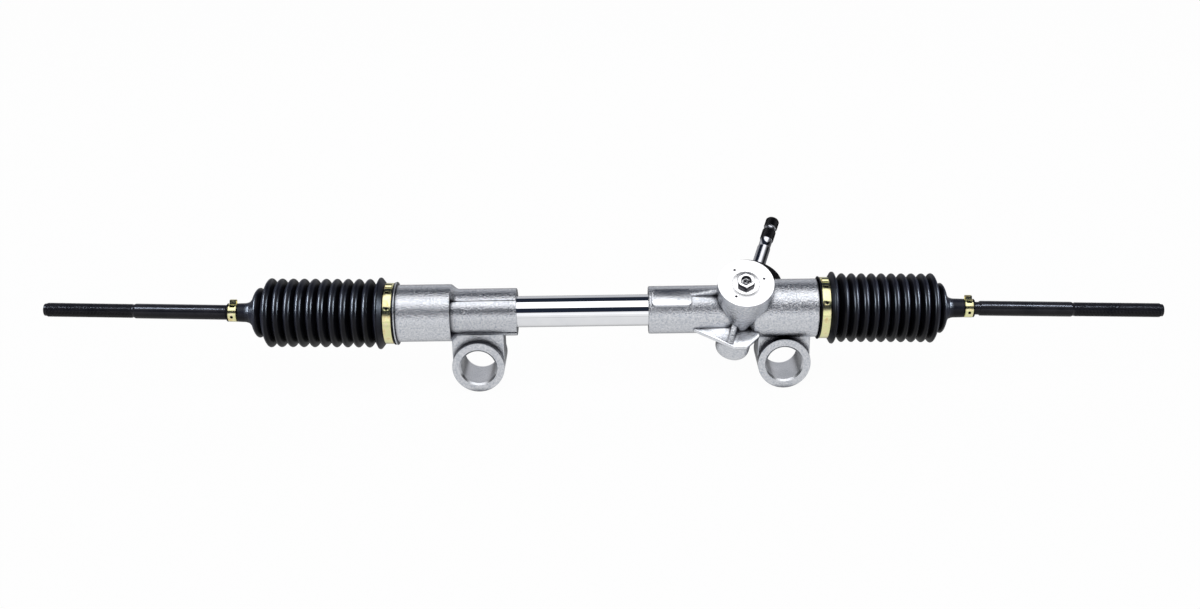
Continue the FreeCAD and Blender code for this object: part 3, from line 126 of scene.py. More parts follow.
def softened(profile, radius=0.5, steps=3, closed=True):
    """Rounds each corner of a profile with a short curve, keeping points on the axis."""
    count = len(profile)
    points = []
    for index, corner in enumerate(profile):
        first_or_last = index in (0, count - 1)
        if corner[0] < 1e-6 or (not closed and first_or_last):
            points.append(corner)
            continue
        here = Vector(corner)
        before = Vector(profile[index - 1]) - here
        after = Vector(profile[(index + 1) % count]) - here
        reach = min(radius, before.length * 0.45, after.length * 0.45)
        start = here + before.normalized() * reach
        end = here + after.normalized() * reach
        for step in range(steps + 1):
            share = step / steps
            points.append(tuple(
                start * (1 - share) ** 2 + here * (2 * share * (1 - share)) + end * share ** 2
            ))
    return points


def drum(low_radius, high_radius, low, high):
    """The profile of a plain cylinder or cone on the axis."""
    return [(0.0, low), (low_radius, low), (high_radius, high), (0.0, high)]


def raise_outline(mesh, points, low, high, place):
    """A straight-edged outline in the frame's own XY plane, raised along its Z."""
    base = [mesh.verts.new(place @ Vector((x, y, low))) for x, y in points]
    top = [mesh.verts.new(place @ Vector((x, y, high))) for x, y in points]
    mesh.faces.new(base[::-1])
    mesh.faces.new(top)
    count = len(points)
    for step in range(count):
        after = (step + 1) % count
        mesh.faces.new((base[step], base[after], top[after], top[step]))


def rounded_outline(x0, y0, x1, y1, radius, steps=6):
    points = []
    for cx, cy, start in (
        (x1 - radius, y0 + radius, -90), (x1 - radius, y1 - radius, 0),
        (x0 + radius, y1 - radius, 90), (x0 + radius, y0 + radius, 180),
    ):
        points += [(cx + x, cy + y) for x, y in arc(radius, start, 90, steps)]
    return points


def added(name, data):
    """A new object in the scene."""
    thing = bpy.data.objects.new(name, data)
    bpy.context.scene.collection.objects.link(thing)
    return thing


def kept(mesh, name):
    """A new object from a mesh that has been built."""
    data = bpy.data.meshes.new(name)
    mesh.to_mesh(data)
    mesh.free()
    return added(name, data)


def painted(data, *materials):
    """Gives a mesh its finishes in place of those it had."""
    data.materials.clear()
    for material in materials:
        data.materials.append(material)


def solid(name, build, *materials):
    """A scene object in millimetres from a function that fills a mesh."""
    mesh = bmesh.new()
    build(mesh)
    bmesh.ops.remove_doubles(mesh, verts=mesh.verts, dist=MERGE)
    bmesh.ops.recalc_face_normals(mesh, faces=mesh.faces)
    thing = kept(mesh, name)
    for material in materials:
        thing.data.materials.append(material)
    return thing


def settled(thing):
    """Gives the object the mesh that its modifiers make, and takes them off."""
    graph = bpy.context.evaluated_depsgraph_get()
    data = bpy.data.meshes.new_from_object(thing.evaluated_get(graph))
    old = thing.data
    thing.modifiers.clear()
    thing.data = data
    if old.users == 0:
        bpy.data.meshes.remove(old)
    return thing


def carved(thing, cutters=(), additions=()):
    """Adds and cuts solids with exact booleans; a cut face keeps its cutter's finish."""
    for operation, tools in (("UNION", additions), ("DIFFERENCE", cutters)):
        for tool in tools:
            change = thing.modifiers.new(operation.lower(), "BOOLEAN")
            change.object = tool
            change.operation = operation
            change.solver = "EXACT"
            change.material_mode = "TRANSFER"
    settled(thing)
    for tool in list(cutters) + list(additions):
        bpy.data.objects.remove(tool)
    return thing


def bevelled(thing, width, segments=2, angle=32.0):
    bevel = thing.modifiers.new("edge", "BEVEL")
    bevel.width = width
    bevel.segments = segments
    bevel.limit_method = "ANGLE"
    bevel.angle_limit = math.radians(angle)
    return settled(thing)


def finished(thing, material=None, crease=38.0):
    """Turns millimetres into metres and sets the shading."""
    data = thing.data
    data.transform(Matrix.Scale(MILLIMETRE, 4))
    if material is not None:
        painted(data, material)
    data.shade_smooth()
    data.set_sharp_from_angle(angle=math.radians(crease))
    data.update()
    return thing


def placed(thing, body, nodes, material=None, crease=38.0):
    finished(thing, material, crease)
    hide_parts(*nodes)
    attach(thing, body)
    return thing


def node_copy(node, name):
    """A merged copy of a CAD node's mesh, in millimetres."""
    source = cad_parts[node]
    mesh = bmesh.new()
    mesh.from_mesh(source.data)
    mesh.transform(source.matrix_world)
    bmesh.ops.scale(mesh, vec=(1 / MILLIMETRE,) * 3, verts=mesh.verts)
    bmesh.ops.remove_doubles(mesh, verts=mesh.verts, dist=0.002)
    bmesh.ops.dissolve_limit(mesh, angle_limit=math.radians(1.0), verts=mesh.verts, edges=mesh.edges)
    return kept(mesh, name)


def edged(node, name, width):
    """A copy of a CAD node with its edges broken."""
    return bevelled(node_copy(node, name), width, 2, 25.0)


# Materials: each is worked out from the piece's own Object coordinates

def with_inputs(node, **values):
    """Sets a node's inputs, given by name with _ for a space."""
    for name, value in values.items():
        node.inputs[name.replace("_", " ")].default_value = value
    return node


def new_material(name, **values):
    """A new material, its nodes, links and shader, and the place on the piece."""
    material = bpy.data.materials.new(name)
    material.use_nodes = True
    nodes = material.node_tree.nodes
    shader = with_inputs(nodes["Principled BSDF"], **values)
    place = nodes.new("ShaderNodeTexCoord")
    return material, nodes, material.node_tree.links, shader, place.outputs["Object"]


def noise(nodes, links, coordinates, scale, detail=3.0, roughness=0.55):
    texture = with_inputs(nodes.new("ShaderNodeTexNoise"), Scale=scale, Detail=detail, Roughness=roughness)
    links.new(coordinates, texture.inputs["Vector"])
    return texture.outputs["Fac"]


def ramp(nodes, links, value, stops):
    """A colour ramp; each stop is (position, colour)."""
    colours = nodes.new("ShaderNodeValToRGB")
    band = colours.color_ramp
    while len(band.elements) < len(stops):
        band.elements.new(0.5)
    for element, (position, colour) in zip(band.elements, stops):
        element.position = position
        element.color = (*colour, 1.0)
    links.new(value, colours.inputs["Fac"])
    return colours.outputs["Color"]


def spread(nodes, links, value, low, high, start=0.3, end=0.7):
    """Maps a value onto the range from low to high. A noise lies mostly between 0.3 and 0.7."""
    mapped = nodes.new("ShaderNodeMapRange")
    with_inputs(mapped, From_Min=start, From_Max=end, To_Min=low, To_Max=high)
    links.new(value, mapped.inputs["Value"])
    return mapped.outputs["Result"]


def worked_out(nodes, links, operation, *values):
    """A Math node; each value is a number or another node's output."""
    node = nodes.new("ShaderNodeMath")
    node.operation = operation
    for socket, value in zip(node.inputs, values):
        if isinstance(value, (int, float)):
            socket.default_value = value
        else:
            links.new(value, socket)
    return node.outputs[0]


def shader_mix(nodes, links, share, first, second):
    mix = nodes.new("ShaderNodeMixShader")
    links.new(share, mix.inputs["Fac"])
    links.new(first, mix.inputs[1])
    links.new(second, mix.inputs[2])
    return mix.outputs[0]


def bump(nodes, links, shader, height, strength, distance, under=None):
    node = with_inputs(nodes.new("ShaderNodeBump"), Strength=strength, Distance=distance)
    links.new(height, node.inputs["Height"])
    if under is not None:
        links.new(under, node.inputs["Normal"])
    links.new(node.outputs["Normal"], shader.inputs["Normal"])
    return node.outputs["Normal"]


def metal_finish(name, dark, light, rough_low, rough_high, grain, grain_height, metallic=1.0, specular=0.5):
    """A metal with a two-tone grain, patchy roughness and a fine surface."""
    material, nodes, links, shader, place = new_material(
        name, Metallic=metallic, Specular_IOR_Level=specular
    )
    patches = noise(nodes, links, place, 60.0, 4.0)
    fine = noise(nodes, links, place, grain, 2.0, 0.6)
    links.new(ramp(nodes, links, patches, [(0.3, dark), (0.7, light)]), shader.inputs["Base Color"])
    links.new(spread(nodes, links, fine, rough_low, rough_high), shader.inputs["Roughness"])
    if grain_height > 0:
        bump(nodes, links, shader, fine, 0.6, grain_height)
    return material


def turned_finish(name, dark, light, rough, place_on_axis, ring_scale):
    """Metal with the fine rings that a lathe leaves about one axis."""
    material, nodes, links, shader, place = new_material(name, Metallic=1.0)
    mapping = nodes.new("ShaderNodeMapping")
    origin, turn = place_on_axis
    inverse = turn.to_3x3().inverted()
    mapping.vector_type = "POINT"
    with_inputs(mapping, Rotation=inverse.to_euler(), Location=-(inverse @ (origin * MILLIMETRE)))
    links.new(place, mapping.inputs["Vector"])
    wave = nodes.new("ShaderNodeTexWave")
    wave.wave_type = "RINGS"
    wave.rings_direction = "Z"
    with_inputs(wave, Scale=ring_scale, Distortion=0.4, Detail=2.0)
    links.new(mapping.outputs["Vector"], wave.inputs["Vector"])
    patches = noise(nodes, links, place, 90.0, 3.0)
    links.new(ramp(nodes, links, patches, [(0.3, dark), (0.7, light)]), shader.inputs["Base Color"])
    rings = wave.outputs["Fac"]
    links.new(spread(nodes, links, rings, rough - 0.04, rough + 0.04), shader.inputs["Roughness"])
    bump(nodes, links, shader, rings, 0.12, 0.00002)
    return material


def sand_cast(name, dark, middle, light, rough_low, rough_high, grain, reach=0.007):
    """Sand-cast aluminium: a coarse sparkling grain, with painted shade that darkens the corners and
    creases.
    """
    material, nodes, links, shader, place = new_material(name, Metallic=0.95)
    speckle = noise(nodes, links, place, 520.0, 3.0, 0.7)
    cloud = noise(nodes, links, place, 55.0, 3.0)
    colour = ramp(nodes, links, speckle, [(0.30, dark), (0.47, middle), (0.66, light)])
    # Ambient occlusion darkens the colour in corners and creases: painted shade.
    corner = with_inputs(nodes.new("ShaderNodeAmbientOcclusion"), Distance=reach)
    corner.samples = 6
    painted_shade = ramp(nodes, links, corner.outputs["AO"], [(0.46, (0.03, 0.03, 0.045)), (0.84, (1.0, 1.0, 1.0))])
    mix = nodes.new("ShaderNodeMix")
    mix.data_type = "RGBA"
    mix.blend_type = "MULTIPLY"
    with_inputs(mix, Factor=1.0)
    links.new(colour, mix.inputs["A"])
    links.new(painted_shade, mix.inputs["B"])
    links.new(mix.outputs["Result"], shader.inputs["Base Color"])
    links.new(spread(nodes, links, cloud, rough_low, rough_high), shader.inputs["Roughness"])
    bump(nodes, links, shader, speckle, 0.6, grain)
    return material


# The castings darken their corners and creases by ambient occlusion, a painted shade.
cast_aluminium = sand_cast(
    "cast_aluminium", (0.48, 0.52, 0.59), (0.66, 0.68, 0.72), (0.80, 0.81, 0.84), 0.17, 0.25, 0.00085
)
# A darker copy of the casting with deeper painted shade, for sides and recesses that lie in shade.
shaded_casting = sand_cast(
    "shaded_casting", (0.44, 0.47, 0.52), (0.62, 0.64, 0.68), (0.74, 0.75, 0.78), 0.20, 0.28, 0.0006, 0.035
)
# A smoother, finer-grained casting whose lighter colour paints a highlight on the gusset plate and name
# pad.
smooth_casting = sand_cast(
    "smooth_casting", (0.62, 0.66, 0.74), (0.84, 0.86, 0.90), (0.95, 0.96, 0.98), 0.16, 0.24, 0.00018
)
machined_aluminium = turned_finish(
    "machined_aluminium", (0.95, 0.95, 0.96), (0.99, 0.99, 0.99), 0.20,
    (Vector((YOKE_PLACE, 0.0, AXIS_HEIGHT)), yoke_turn), 700.0,
)
machined_eye = metal_finish(
    "machined_eye", (0.62, 0.64, 0.67), (0.76, 0.77, 0.80), 0.24, 0.36, 900.0, 0.00003
)
chrome_plate = metal_finish(
    "chrome_plate", (0.88, 0.89, 0.92), (0.93, 0.94, 0.96), 0.018, 0.032, 300.0, 0.0
)
ground_steel = metal_finish(
    "ground_steel", (0.50, 0.51, 0.53), (0.62, 0.62, 0.63), 0.22, 0.32, 1200.0, 0.00001
)
black_oxide = metal_finish(
    "black_oxide", (0.006, 0.006, 0.008), (0.014, 0.013, 0.015), 0.15, 0.22, 900.0, 0.00001, 0.3, 0.22
)
# A dark steel colour that paints shade on the nut's flats and in the punch marks.
dark_steel = metal_finish(
    "dark_steel", (0.05, 0.05, 0.06), (0.10, 0.10, 0.12), 0.20, 0.30, 1000.0, 0.00002
)
polished_steel = metal_finish(
    "polished_steel", (0.60, 0.61, 0.66), (0.74, 0.75, 0.80), 0.09, 0.15, 500.0, 0.0
)
bronze = metal_finish(
    "sintered_bronze", (0.40, 0.26, 0.12), (0.55, 0.38, 0.19), 0.35, 0.5, 1800.0, 0.00004
)


def zinc_passivate():
    """Yellow zinc plate: gold with faint green and pink patches."""
    material, nodes, links, shader, place = new_material("yellow_zinc", Metallic=1.0)
    patches = noise(nodes, links, place, 140.0, 3.0)
    colour = ramp(nodes, links, patches, [
        (0.30, (0.80, 0.62, 0.28)), (0.45, (0.93, 0.86, 0.50)), (0.58, (0.86, 0.88, 0.46)),
        (0.72, (0.94, 0.82, 0.56)),
    ])
    links.new(colour, shader.inputs["Base Color"])
    fine = noise(nodes, links, place, 900.0, 2.0)
    links.new(spread(nodes, links, fine, 0.15, 0.25), shader.inputs["Roughness"])
    bump(nodes, links, shader, fine, 0.3, 0.00002)
    return material


def moulded(name, dark, light, rough_low, rough_high, wave_scale, height, specular=0.5, grain=0.00003):
    """Moulded rubber or plastic with a soft unevenness."""
    material, nodes, links, shader, place = new_material(name, Metallic=0.0, Specular_IOR_Level=specular)
    slow = noise(nodes, links, place, wave_scale, 2.0)
    fine = noise(nodes, links, place, 1400.0, 2.0)
    links.new(ramp(nodes, links, slow, [(0.3, dark), (0.7, light)]), shader.inputs["Base Color"])
    links.new(spread(nodes, links, slow, rough_low, rough_high), shader.inputs["Roughness"])
    under = bump(nodes, links, shader, slow, 0.35, height)
    bump(nodes, links, shader, fine, 0.25, grain, under)
    return material


yellow_zinc = zinc_passivate()
boot_rubber = moulded(
    "boot_rubber", (0.002, 0.002, 0.003), (0.004, 0.004, 0.006), 0.29, 0.34, 45.0, 0.00002, 0.15, 0.000001
)
seal_rubber = moulded(
    "seal_rubber", (0.010, 0.010, 0.010), (0.020, 0.020, 0.020), 0.45, 0.60, 120.0, 0.0001
)
cap_plastic = moulded(
    "cap_plastic", (0.003, 0.003, 0.004), (0.007, 0.007, 0.008), 0.42, 0.55, 80.0, 0.0001, 0.25
)
acetal = moulded("acetal", (0.74, 0.72, 0.66), (0.84, 0.82, 0.76), 0.35, 0.5, 100.0, 0.00005)


# Ridged sleeve: one tree winds the rod threads, the bellows and the input serrations

def ridged_sleeve_tree():
    """A sleeve on the own Z axis whose radius rises in ridges along it, around it, or in a helix."""
    tree = bpy.data.node_groups.new("ridged_sleeve", "GeometryNodeTree")
    tree.interface.new_socket("Geometry", in_out="OUTPUT", socket_type="NodeSocketGeometry")
    for name, value in (
        ("Start", 0.0), ("Length", 10.0), ("Valley radius", 6.0), ("Crest radius", 7.0),
        ("Ridges along", 8.0), ("Ridges around", 0.0), ("Fullness", 1.0), ("Run out", 0.0),
    ):
        socket = tree.interface.new_socket(name, in_out="INPUT", socket_type="NodeSocketFloat")
        socket.default_value = value
    for name, value in (("Rings", 64), ("Segments", 96)):
        socket = tree.interface.new_socket(name, in_out="INPUT", socket_type="NodeSocketInt")
        socket.default_value = value
    tree.interface.new_socket("Material", in_out="INPUT", socket_type="NodeSocketMaterial")
    nodes = tree.nodes
    links = tree.links
    given = nodes.new("NodeGroupInput").outputs
    result = nodes.new("NodeGroupOutput")

    def figure(operation, *values):
        return worked_out(nodes, links, operation, *values)

    grid = with_inputs(nodes.new("GeometryNodeMeshGrid"), Size_X=1.0, Size_Y=1.0)
    links.new(given["Rings"], grid.inputs["Vertices X"])
    links.new(figure("ADD", given["Segments"], 1), grid.inputs["Vertices Y"])
    where = nodes.new("ShaderNodeSeparateXYZ")
    links.new(nodes.new("GeometryNodeInputPosition").outputs[0], where.inputs[0])
    along = figure("ADD", where.outputs["X"], 0.5)
    around = figure("ADD", where.outputs["Y"], 0.5)
    phase = figure("SUBTRACT", figure("MULTIPLY", along, given["Ridges along"]),
                   figure("MULTIPLY", around, given["Ridges around"]))
    arch = figure("ABSOLUTE", figure("SINE", figure("MULTIPLY", phase, math.pi)))
    ridge = figure("POWER", arch, given["Fullness"])
    to_end = figure("MULTIPLY", figure("MINIMUM", along, figure("SUBTRACT", 1.0, along)), given["Length"])
    fade = figure("DIVIDE", figure("ADD", to_end, 1e-6), figure("ADD", given["Run out"], 1e-6))
    ridge = figure("MULTIPLY", ridge, figure("MINIMUM", fade, 1.0))
    height = figure("SUBTRACT", given["Crest radius"], given["Valley radius"])
    radius = figure("MULTIPLY_ADD", ridge, height, given["Valley radius"])
    angle = figure("MULTIPLY", around, 2 * math.pi)
    place = nodes.new("ShaderNodeCombineXYZ")
    links.new(figure("MULTIPLY", figure("COSINE", angle), radius), place.inputs["X"])
    links.new(figure("MULTIPLY", figure("SINE", angle), radius), place.inputs["Y"])
    links.new(figure("MULTIPLY_ADD", along, given["Length"], given["Start"]), place.inputs["Z"])
    wrap = nodes.new("GeometryNodeSetPosition")
    links.new(grid.outputs["Mesh"], wrap.inputs["Geometry"])
    links.new(place.outputs[0], wrap.inputs["Position"])
    merge = with_inputs(nodes.new("GeometryNodeMergeByDistance"), Distance=1e-3)
    links.new(wrap.outputs[0], merge.inputs["Geometry"])
    realized = nodes.new("GeometryNodeRealizeInstances")
    links.new(merge.outputs[0], realized.inputs[0])
    paint = nodes.new("GeometryNodeSetMaterial")
    links.new(realized.outputs[0], paint.inputs["Geometry"])
    links.new(given["Material"], paint.inputs["Material"])
    links.new(paint.outputs[0], result.inputs[0])
    return tree


ridged_sleeve = ridged_sleeve_tree()


def grown(tree, name, **inputs):
    """The mesh that a tree makes from inputs given by name, with _ for a space."""
    thing = added(name, bpy.data.meshes.new(name))
    change = thing.modifiers.new(tree.name, "NODES")
    change.node_group = tree
    for item in tree.interface.items_tree:
        key = item.name.replace(" ", "_")
        if item.item_type == "SOCKET" and item.in_out == "INPUT" and key in inputs:
            change[item.identifier] = inputs[key]
    return settled(thing)


def sleeve_into(mesh, place, **inputs):
    """Adds a ridged sleeve to a mesh that is being built."""
    thing = grown(ridged_sleeve, "sleeve", **inputs)
    thing.data.transform(place)
    mesh.from_mesh(thing.data)
    bpy.data.objects.remove(thing)


# Castings: the rough outside is smoothed like sand-cast metal, then machined faces are cut in it

# Radii of the barrels, and stations along the rack
BARREL_SMALL = 24.2
LEFT_BARREL = 29.1
RIGHT_BARREL = 29.6
SPIGOT = 28.2
RIGHT_TUBE_END = -137.5
RIGHT_TUBE_STOP = -107.5
RIGHT_STEP = -31.0
RIGHT_STEP_LENGTH = 6.0
RIGHT_RACK_STOP = -12.6
RIGHT_BARREL_END = 33.1
RIGHT_SPIGOT_END = 46.0
LEFT_TUBE_END = -270.5
LEFT_TUBE_STOP = -300.5
LEFT_BUSH_END = -332.5
LEFT_STEP = -337.3
LEFT_STEP_LENGTH = 6.2
LEFT_RACK_STOP = -346.4
LEFT_BARREL_END = -391.9
LEFT_SPIGOT_END = -407.0
LAP = 0.1

# Mounting eyes and their webs
EYE_RADIUS = 26.7
EYE_HALF = 22.5
EYE_BORE = 17.75
EYE_CHAMFER = 1.8
LUG_HALF = 14.5
LUG_WIDTH = 26.4
LUG_TOP = 38.0

# Radii of the bores
TUBE_SOCKET = 15.905
BUSH_BORE = 15.23
RACK_BORE = 13.2
STOP_BORE = 24.0
YOKE_BORE = 16.55
PLUG_BORE = 18.93
BEARING_BORE = 20.03
LOWER_BUSH_BORE = 10.03
PINION_BORE = 10.3

# Heights on the pinion's axis, and the tower's radii
BUSH_LOW = -34.5
BUSH_HIGH = -14.0
BEARING_SEAT = 22.0
TOWER_LOW = 20.0
TOWER_TOP = 49.0
TOWER_RADIUS = 25.2
TOWER_FOOT = -14.0
TOWER_FOOT_RADIUS = 16.2

# The yoke boss; stock is what the facing cuts take off
BOSS_RADIUS = 27.9
BOSS_FACE = 46.0
BOSS_LOW = 26.0
PLUG_THICK = 11.0
STOCK = 3.0


def roughcast(name, build, voxel=0.95, passes=5):
    """Joins overlapping rough solids into one skin with cast fillets."""
    thing = solid(name, build, cast_aluminium)
    skin = thing.modifiers.new("skin", "REMESH")
    skin.mode = "VOXEL"
    skin.voxel_size = voxel
    settled(thing)
    soften = thing.modifiers.new("fillets", "SMOOTH")
    soften.factor = 0.5
    soften.iterations = passes
    settled(thing)
    painted(thing.data, cast_aluminium)
    return thing


def eye_frame(x):
    """Own Z towards the back along the mounting bore."""
    return Matrix.Translation((x, 0.0, 0.0)) @ Matrix.Rotation(-math.pi / 2, 4, "X")


def lug(x):
    """The flat web that ties the mounting eye to the barrel."""
    points = arc(LUG_WIDTH, 180, 180, 36) + [(LUG_WIDTH, LUG_TOP), (-LUG_WIDTH, LUG_TOP)]
    place = Matrix.Translation((x, 0.0, 0.0)) @ Matrix.Rotation(math.pi / 2, 4, "X")
    web = solid("lug", lambda mesh: raise_outline(mesh, points, -LUG_HALF, LUG_HALF, place), cast_aluminium)
    return bevelled(web, 1.0, 3)


def sides_in_shade(mesh, axis):
    """Gives the faces that don't look along the axis the second finish, the darker casting with painted
    shade.
    """
    mesh.normal_update()
    for face in mesh.faces:
        if abs(face.normal.dot(axis)) < 0.5:
            face.material_index = 1


def eye_ring(x):
    """The round boss of the eye, proud of the lug on both sides; its round sides are painted in shade."""
    profile = softened(drum(EYE_RADIUS, EYE_RADIUS, -EYE_HALF, EYE_HALF), 0.7)

    def build(mesh):
        revolve(mesh, profile, eye_frame(x), closed=False)
        sides_in_shade(mesh, Vector((0.0, 1.0, 0.0)))

    return solid("eye_ring", build, cast_aluminium, shaded_casting)


def turned_cutter(name, profile, place, material, phase=0.0):
    """One cutter for all the bores and faces on an axis, so that no two cuts share a face."""
    whole = [(0.0, profile[0][1])] + profile + [(0.0, profile[-1][1])]
    turn = place @ Matrix.Rotation(math.radians(phase), 4, "Z")
    return solid(name, lambda mesh: revolve(mesh, whole, turn, closed=False), material)


def stepped_bore(start, *steps):
    """The profile of a bore from (radius, end) steps, one after the other."""
    points = []
    for radius, end in steps:
        points += [(radius, start), (radius, end)]
        start = end
    return points


def eye_cutter(x):
    """The mounting bore with its chamfers."""
    wide = EYE_BORE + EYE_CHAMFER + 1.0
    straight = EYE_HALF - EYE_CHAMFER
    profile = [(wide, -EYE_HALF - 1), (EYE_BORE, -straight), (EYE_BORE, straight), (wide, EYE_HALF + 1)]
    return turned_cutter("eye_cut", profile, eye_frame(x), machined_eye, 1.3)


def rack_drum(mesh, radius, start, end, end_radius=None):
    low, high = min(start, end), max(start, end)
    revolve(mesh, drum(radius, end_radius or radius, 0.0, high - low), rack_frame(low), closed=False)


def ring_in(place, radius, height, around=48, cx=0.0, cy=0.0):
    return [place @ Vector((cx + x, cy + y, height)) for x, y in arc(radius, 0.0, 360.0, around)[:-1]]


PLATE_TOP = 1.5
PLATE_THICKNESS = 4.5
PLATE_REACH = 46.8
RIB_THICKNESS = 6.0
LOWER_BOSS = 17.3
LOWER_BOSS_END = 47.8
LOWER_DOME = 10.5
PLATE_OUTLINE = [
    (-52.0, -15.0), (-51.0, -25.5), (-11.5, -PLATE_REACH), (1.5, -PLATE_REACH), (14.5, -34.5), (16.0, -15.0)
]


def lower_boss_profile():
    """The blind end of the pinion bore: a drum with a rounded end."""
    flat = LOWER_BOSS - LOWER_DOME
    dome = [(flat + x, LOWER_DOME - LOWER_BOSS_END + y) for x, y in arc(LOWER_DOME, -90, 90, 8)]
    return [(0.0, -LOWER_BOSS_END)] + dome + [(LOWER_BOSS, 0.0), (0.0, 0.0)]


def pinion_casting_rough(mesh):
    rack_drum(mesh, BARREL_SMALL, RIGHT_TUBE_END, YOKE_PLACE)
    rack_drum(mesh, RIGHT_BARREL, RIGHT_STEP, RIGHT_BARREL_END)
    rack_drum(mesh, BARREL_SMALL, RIGHT_STEP - RIGHT_STEP_LENGTH, RIGHT_STEP + LAP, RIGHT_BARREL)
    rack_drum(mesh, SPIGOT, RIGHT_BARREL_END - 1.1, RIGHT_SPIGOT_END)
    revolve(mesh, drum(19.0, BOSS_RADIUS - 3, 0.0, BOSS_LOW), yoke_frame, closed=False)
    for profile in (
        drum(TOWER_RADIUS, TOWER_RADIUS, TOWER_LOW, TOWER_TOP + STOCK),
        drum(TOWER_FOOT_RADIUS, TOWER_RADIUS, TOWER_FOOT, TOWER_LOW),
        lower_boss_profile(),
    ):
        revolve(mesh, profile, pinion_frame, closed=False)


def yoke_boss_block(mesh):
    """The round boss with its wedge-shaped underside."""
    points = ring_in(yoke_frame, 8.0, 0.0, cx=-4.0, cy=-20.5)
    for height in (BOSS_LOW, BOSS_FACE + STOCK):
        points += ring_in(yoke_frame, BOSS_RADIUS, height, ROUND)
    bmesh.ops.convex_hull(mesh, input=[mesh.verts.new(point) for point in points])


def gusset_plate_block(mesh):
    """The web between the barrel, the yoke boss and the pinion's lower boss."""
    raise_outline(mesh, PLATE_OUTLINE, PLATE_TOP - PLATE_THICKNESS, PLATE_TOP, yoke_frame)


def gusset_rib_block(mesh):
    low = PINION_OFFSET + PLATE_TOP - 1
    points = [(low, -PLATE_REACH + 1.4), (low, -15.0), (low + 13, -15.0), (low + 3, -45.0)]
    across = yoke_axis.cross(pinion_axis)
    turn = Matrix((yoke_axis, pinion_axis, across)).transposed().to_4x4()
    place = Matrix.Translation(pinion_origin + across * (1.5 - RIB_THICKNESS / 2)) @ turn
    raise_outline(mesh, points, 0.0, RIB_THICKNESS, place)


PAD_START = -133.9
PAD_LENGTH = 39.5
PAD_LOW = -11.45
PAD_HIGH = 8.05
PAD_CORNER = 4.5
PAD_PROUD = 1.1


def name_pad_block(mesh):
    """The bare raised plate between the tube and the yoke boss."""
    start = PAD_START - YOKE_PLACE
    outline = rounded_outline(start, PAD_LOW, start + PAD_LENGTH, PAD_HIGH, PAD_CORNER)
    raise_outline(mesh, outline, BARREL_SMALL - 6.9, BARREL_SMALL + PAD_PROUD, yoke_frame)
    # The pad's sides are painted in shade.
    sides_in_shade(mesh, yoke_axis)


def pad_ridge_block(mesh):
    """The low wedge from the plate up to the yoke boss."""
    start = PAD_START + PAD_LENGTH - YOKE_PLACE - 1
    base = BARREL_SMALL - 3
    points = [(start, base), (-22.0, base), (-22.0, base + 12), (start, base + 3.4)]
    place = yoke_frame @ Matrix.Translation((0.0, 4.0, 0.0)) @ Matrix.Rotation(math.pi / 2, 4, "X")
    raise_outline(mesh, points, 0.0, 4.2, place)


def pinion_housing():
    casting = roughcast("pinion_housing_casting", pinion_casting_rough)
    crisp = [
        bevelled(solid(name, block, finish, shaded_casting), width)
        for name, block, width, finish in (
            ("yoke_boss", yoke_boss_block, 0.4, cast_aluminium),
            ("gusset_plate", gusset_plate_block, 0.7, smooth_casting),
            ("gusset_rib", gusset_rib_block, 0.8, cast_aluminium),
            ("name_pad", name_pad_block, 0.3, smooth_casting),
            ("pad_ridge", pad_ridge_block, 0.6, cast_aluminium),
        )
    ]
    rack_bores = stepped_bore(
        RIGHT_TUBE_END - 4.5, (TUBE_SOCKET, RIGHT_TUBE_STOP), (RACK_BORE, RIGHT_RACK_STOP),
        (STOP_BORE, RIGHT_SPIGOT_END + 3.0),
    )
    pinion_bores = stepped_bore(
        BUSH_LOW, (LOWER_BUSH_BORE, BUSH_HIGH), (PINION_BORE, BEARING_SEAT), (BEARING_BORE, TOWER_TOP),
        (TOWER_RADIUS + 14.8, TOWER_TOP + 9),
    )
    yoke_bores = stepped_bore(
        0.0, (YOKE_BORE, BOSS_FACE - PLUG_THICK), (PLUG_BORE, BOSS_FACE),
        (BOSS_RADIUS + 17.1, BOSS_FACE + 9),
    )
    cutters = [
        turned_cutter("rack_bore_cut", rack_bores, rack_frame(0.0), machined_eye, 0.7),
        turned_cutter("pinion_bore_cut", pinion_bores, pinion_frame, machined_eye, 0.9),
        turned_cutter("yoke_bore_cut", yoke_bores, yoke_frame, machined_aluminium, 1.1),
        eye_cutter(0.0),
    ]
    carved(casting, cutters + stake_marks(), crisp + [lug(0.0), eye_ring(0.0)])
    return placed(casting, "housing", ["pinion_housing"], crease=42.0)


def stake_marks():
    """Three punch marks that lock the plug, on the joint around it; their dents are painted dark as painted
    shade.
    """
    marks = []
    for degrees in (15.0, 123.0, 236.5):
        angle = math.radians(degrees)
        centre = Matrix.Translation((PLUG_BORE * math.cos(angle), PLUG_BORE * math.sin(angle), 0.0))
        profile = [(0.0, BOSS_FACE - 1.2), (1.7, BOSS_FACE + 0.3), (0.0, BOSS_FACE + 0.4)]
        marks.append(solid(
            "stake_mark",
            lambda mesh: revolve(mesh, profile, yoke_frame @ centre, 14, closed=False),
            dark_steel,
        ))
    return marks


def end_casting_rough(mesh):
    rack_drum(mesh, BARREL_SMALL, LEFT_STEP, LEFT_TUBE_END)
    rack_drum(mesh, LEFT_BARREL, LEFT_BARREL_END, LEFT_STEP)
    rack_drum(mesh, LEFT_BARREL, LEFT_STEP - LAP, LEFT_STEP + LEFT_STEP_LENGTH, BARREL_SMALL)
    rack_drum(mesh, SPIGOT, LEFT_SPIGOT_END, LEFT_BARREL_END + 0.9)


SADDLE_START = -336.9
SADDLE_ANGLE = 219.0
SADDLE_SWEEP = 94.0
SADDLE_DEPTH = 0.9


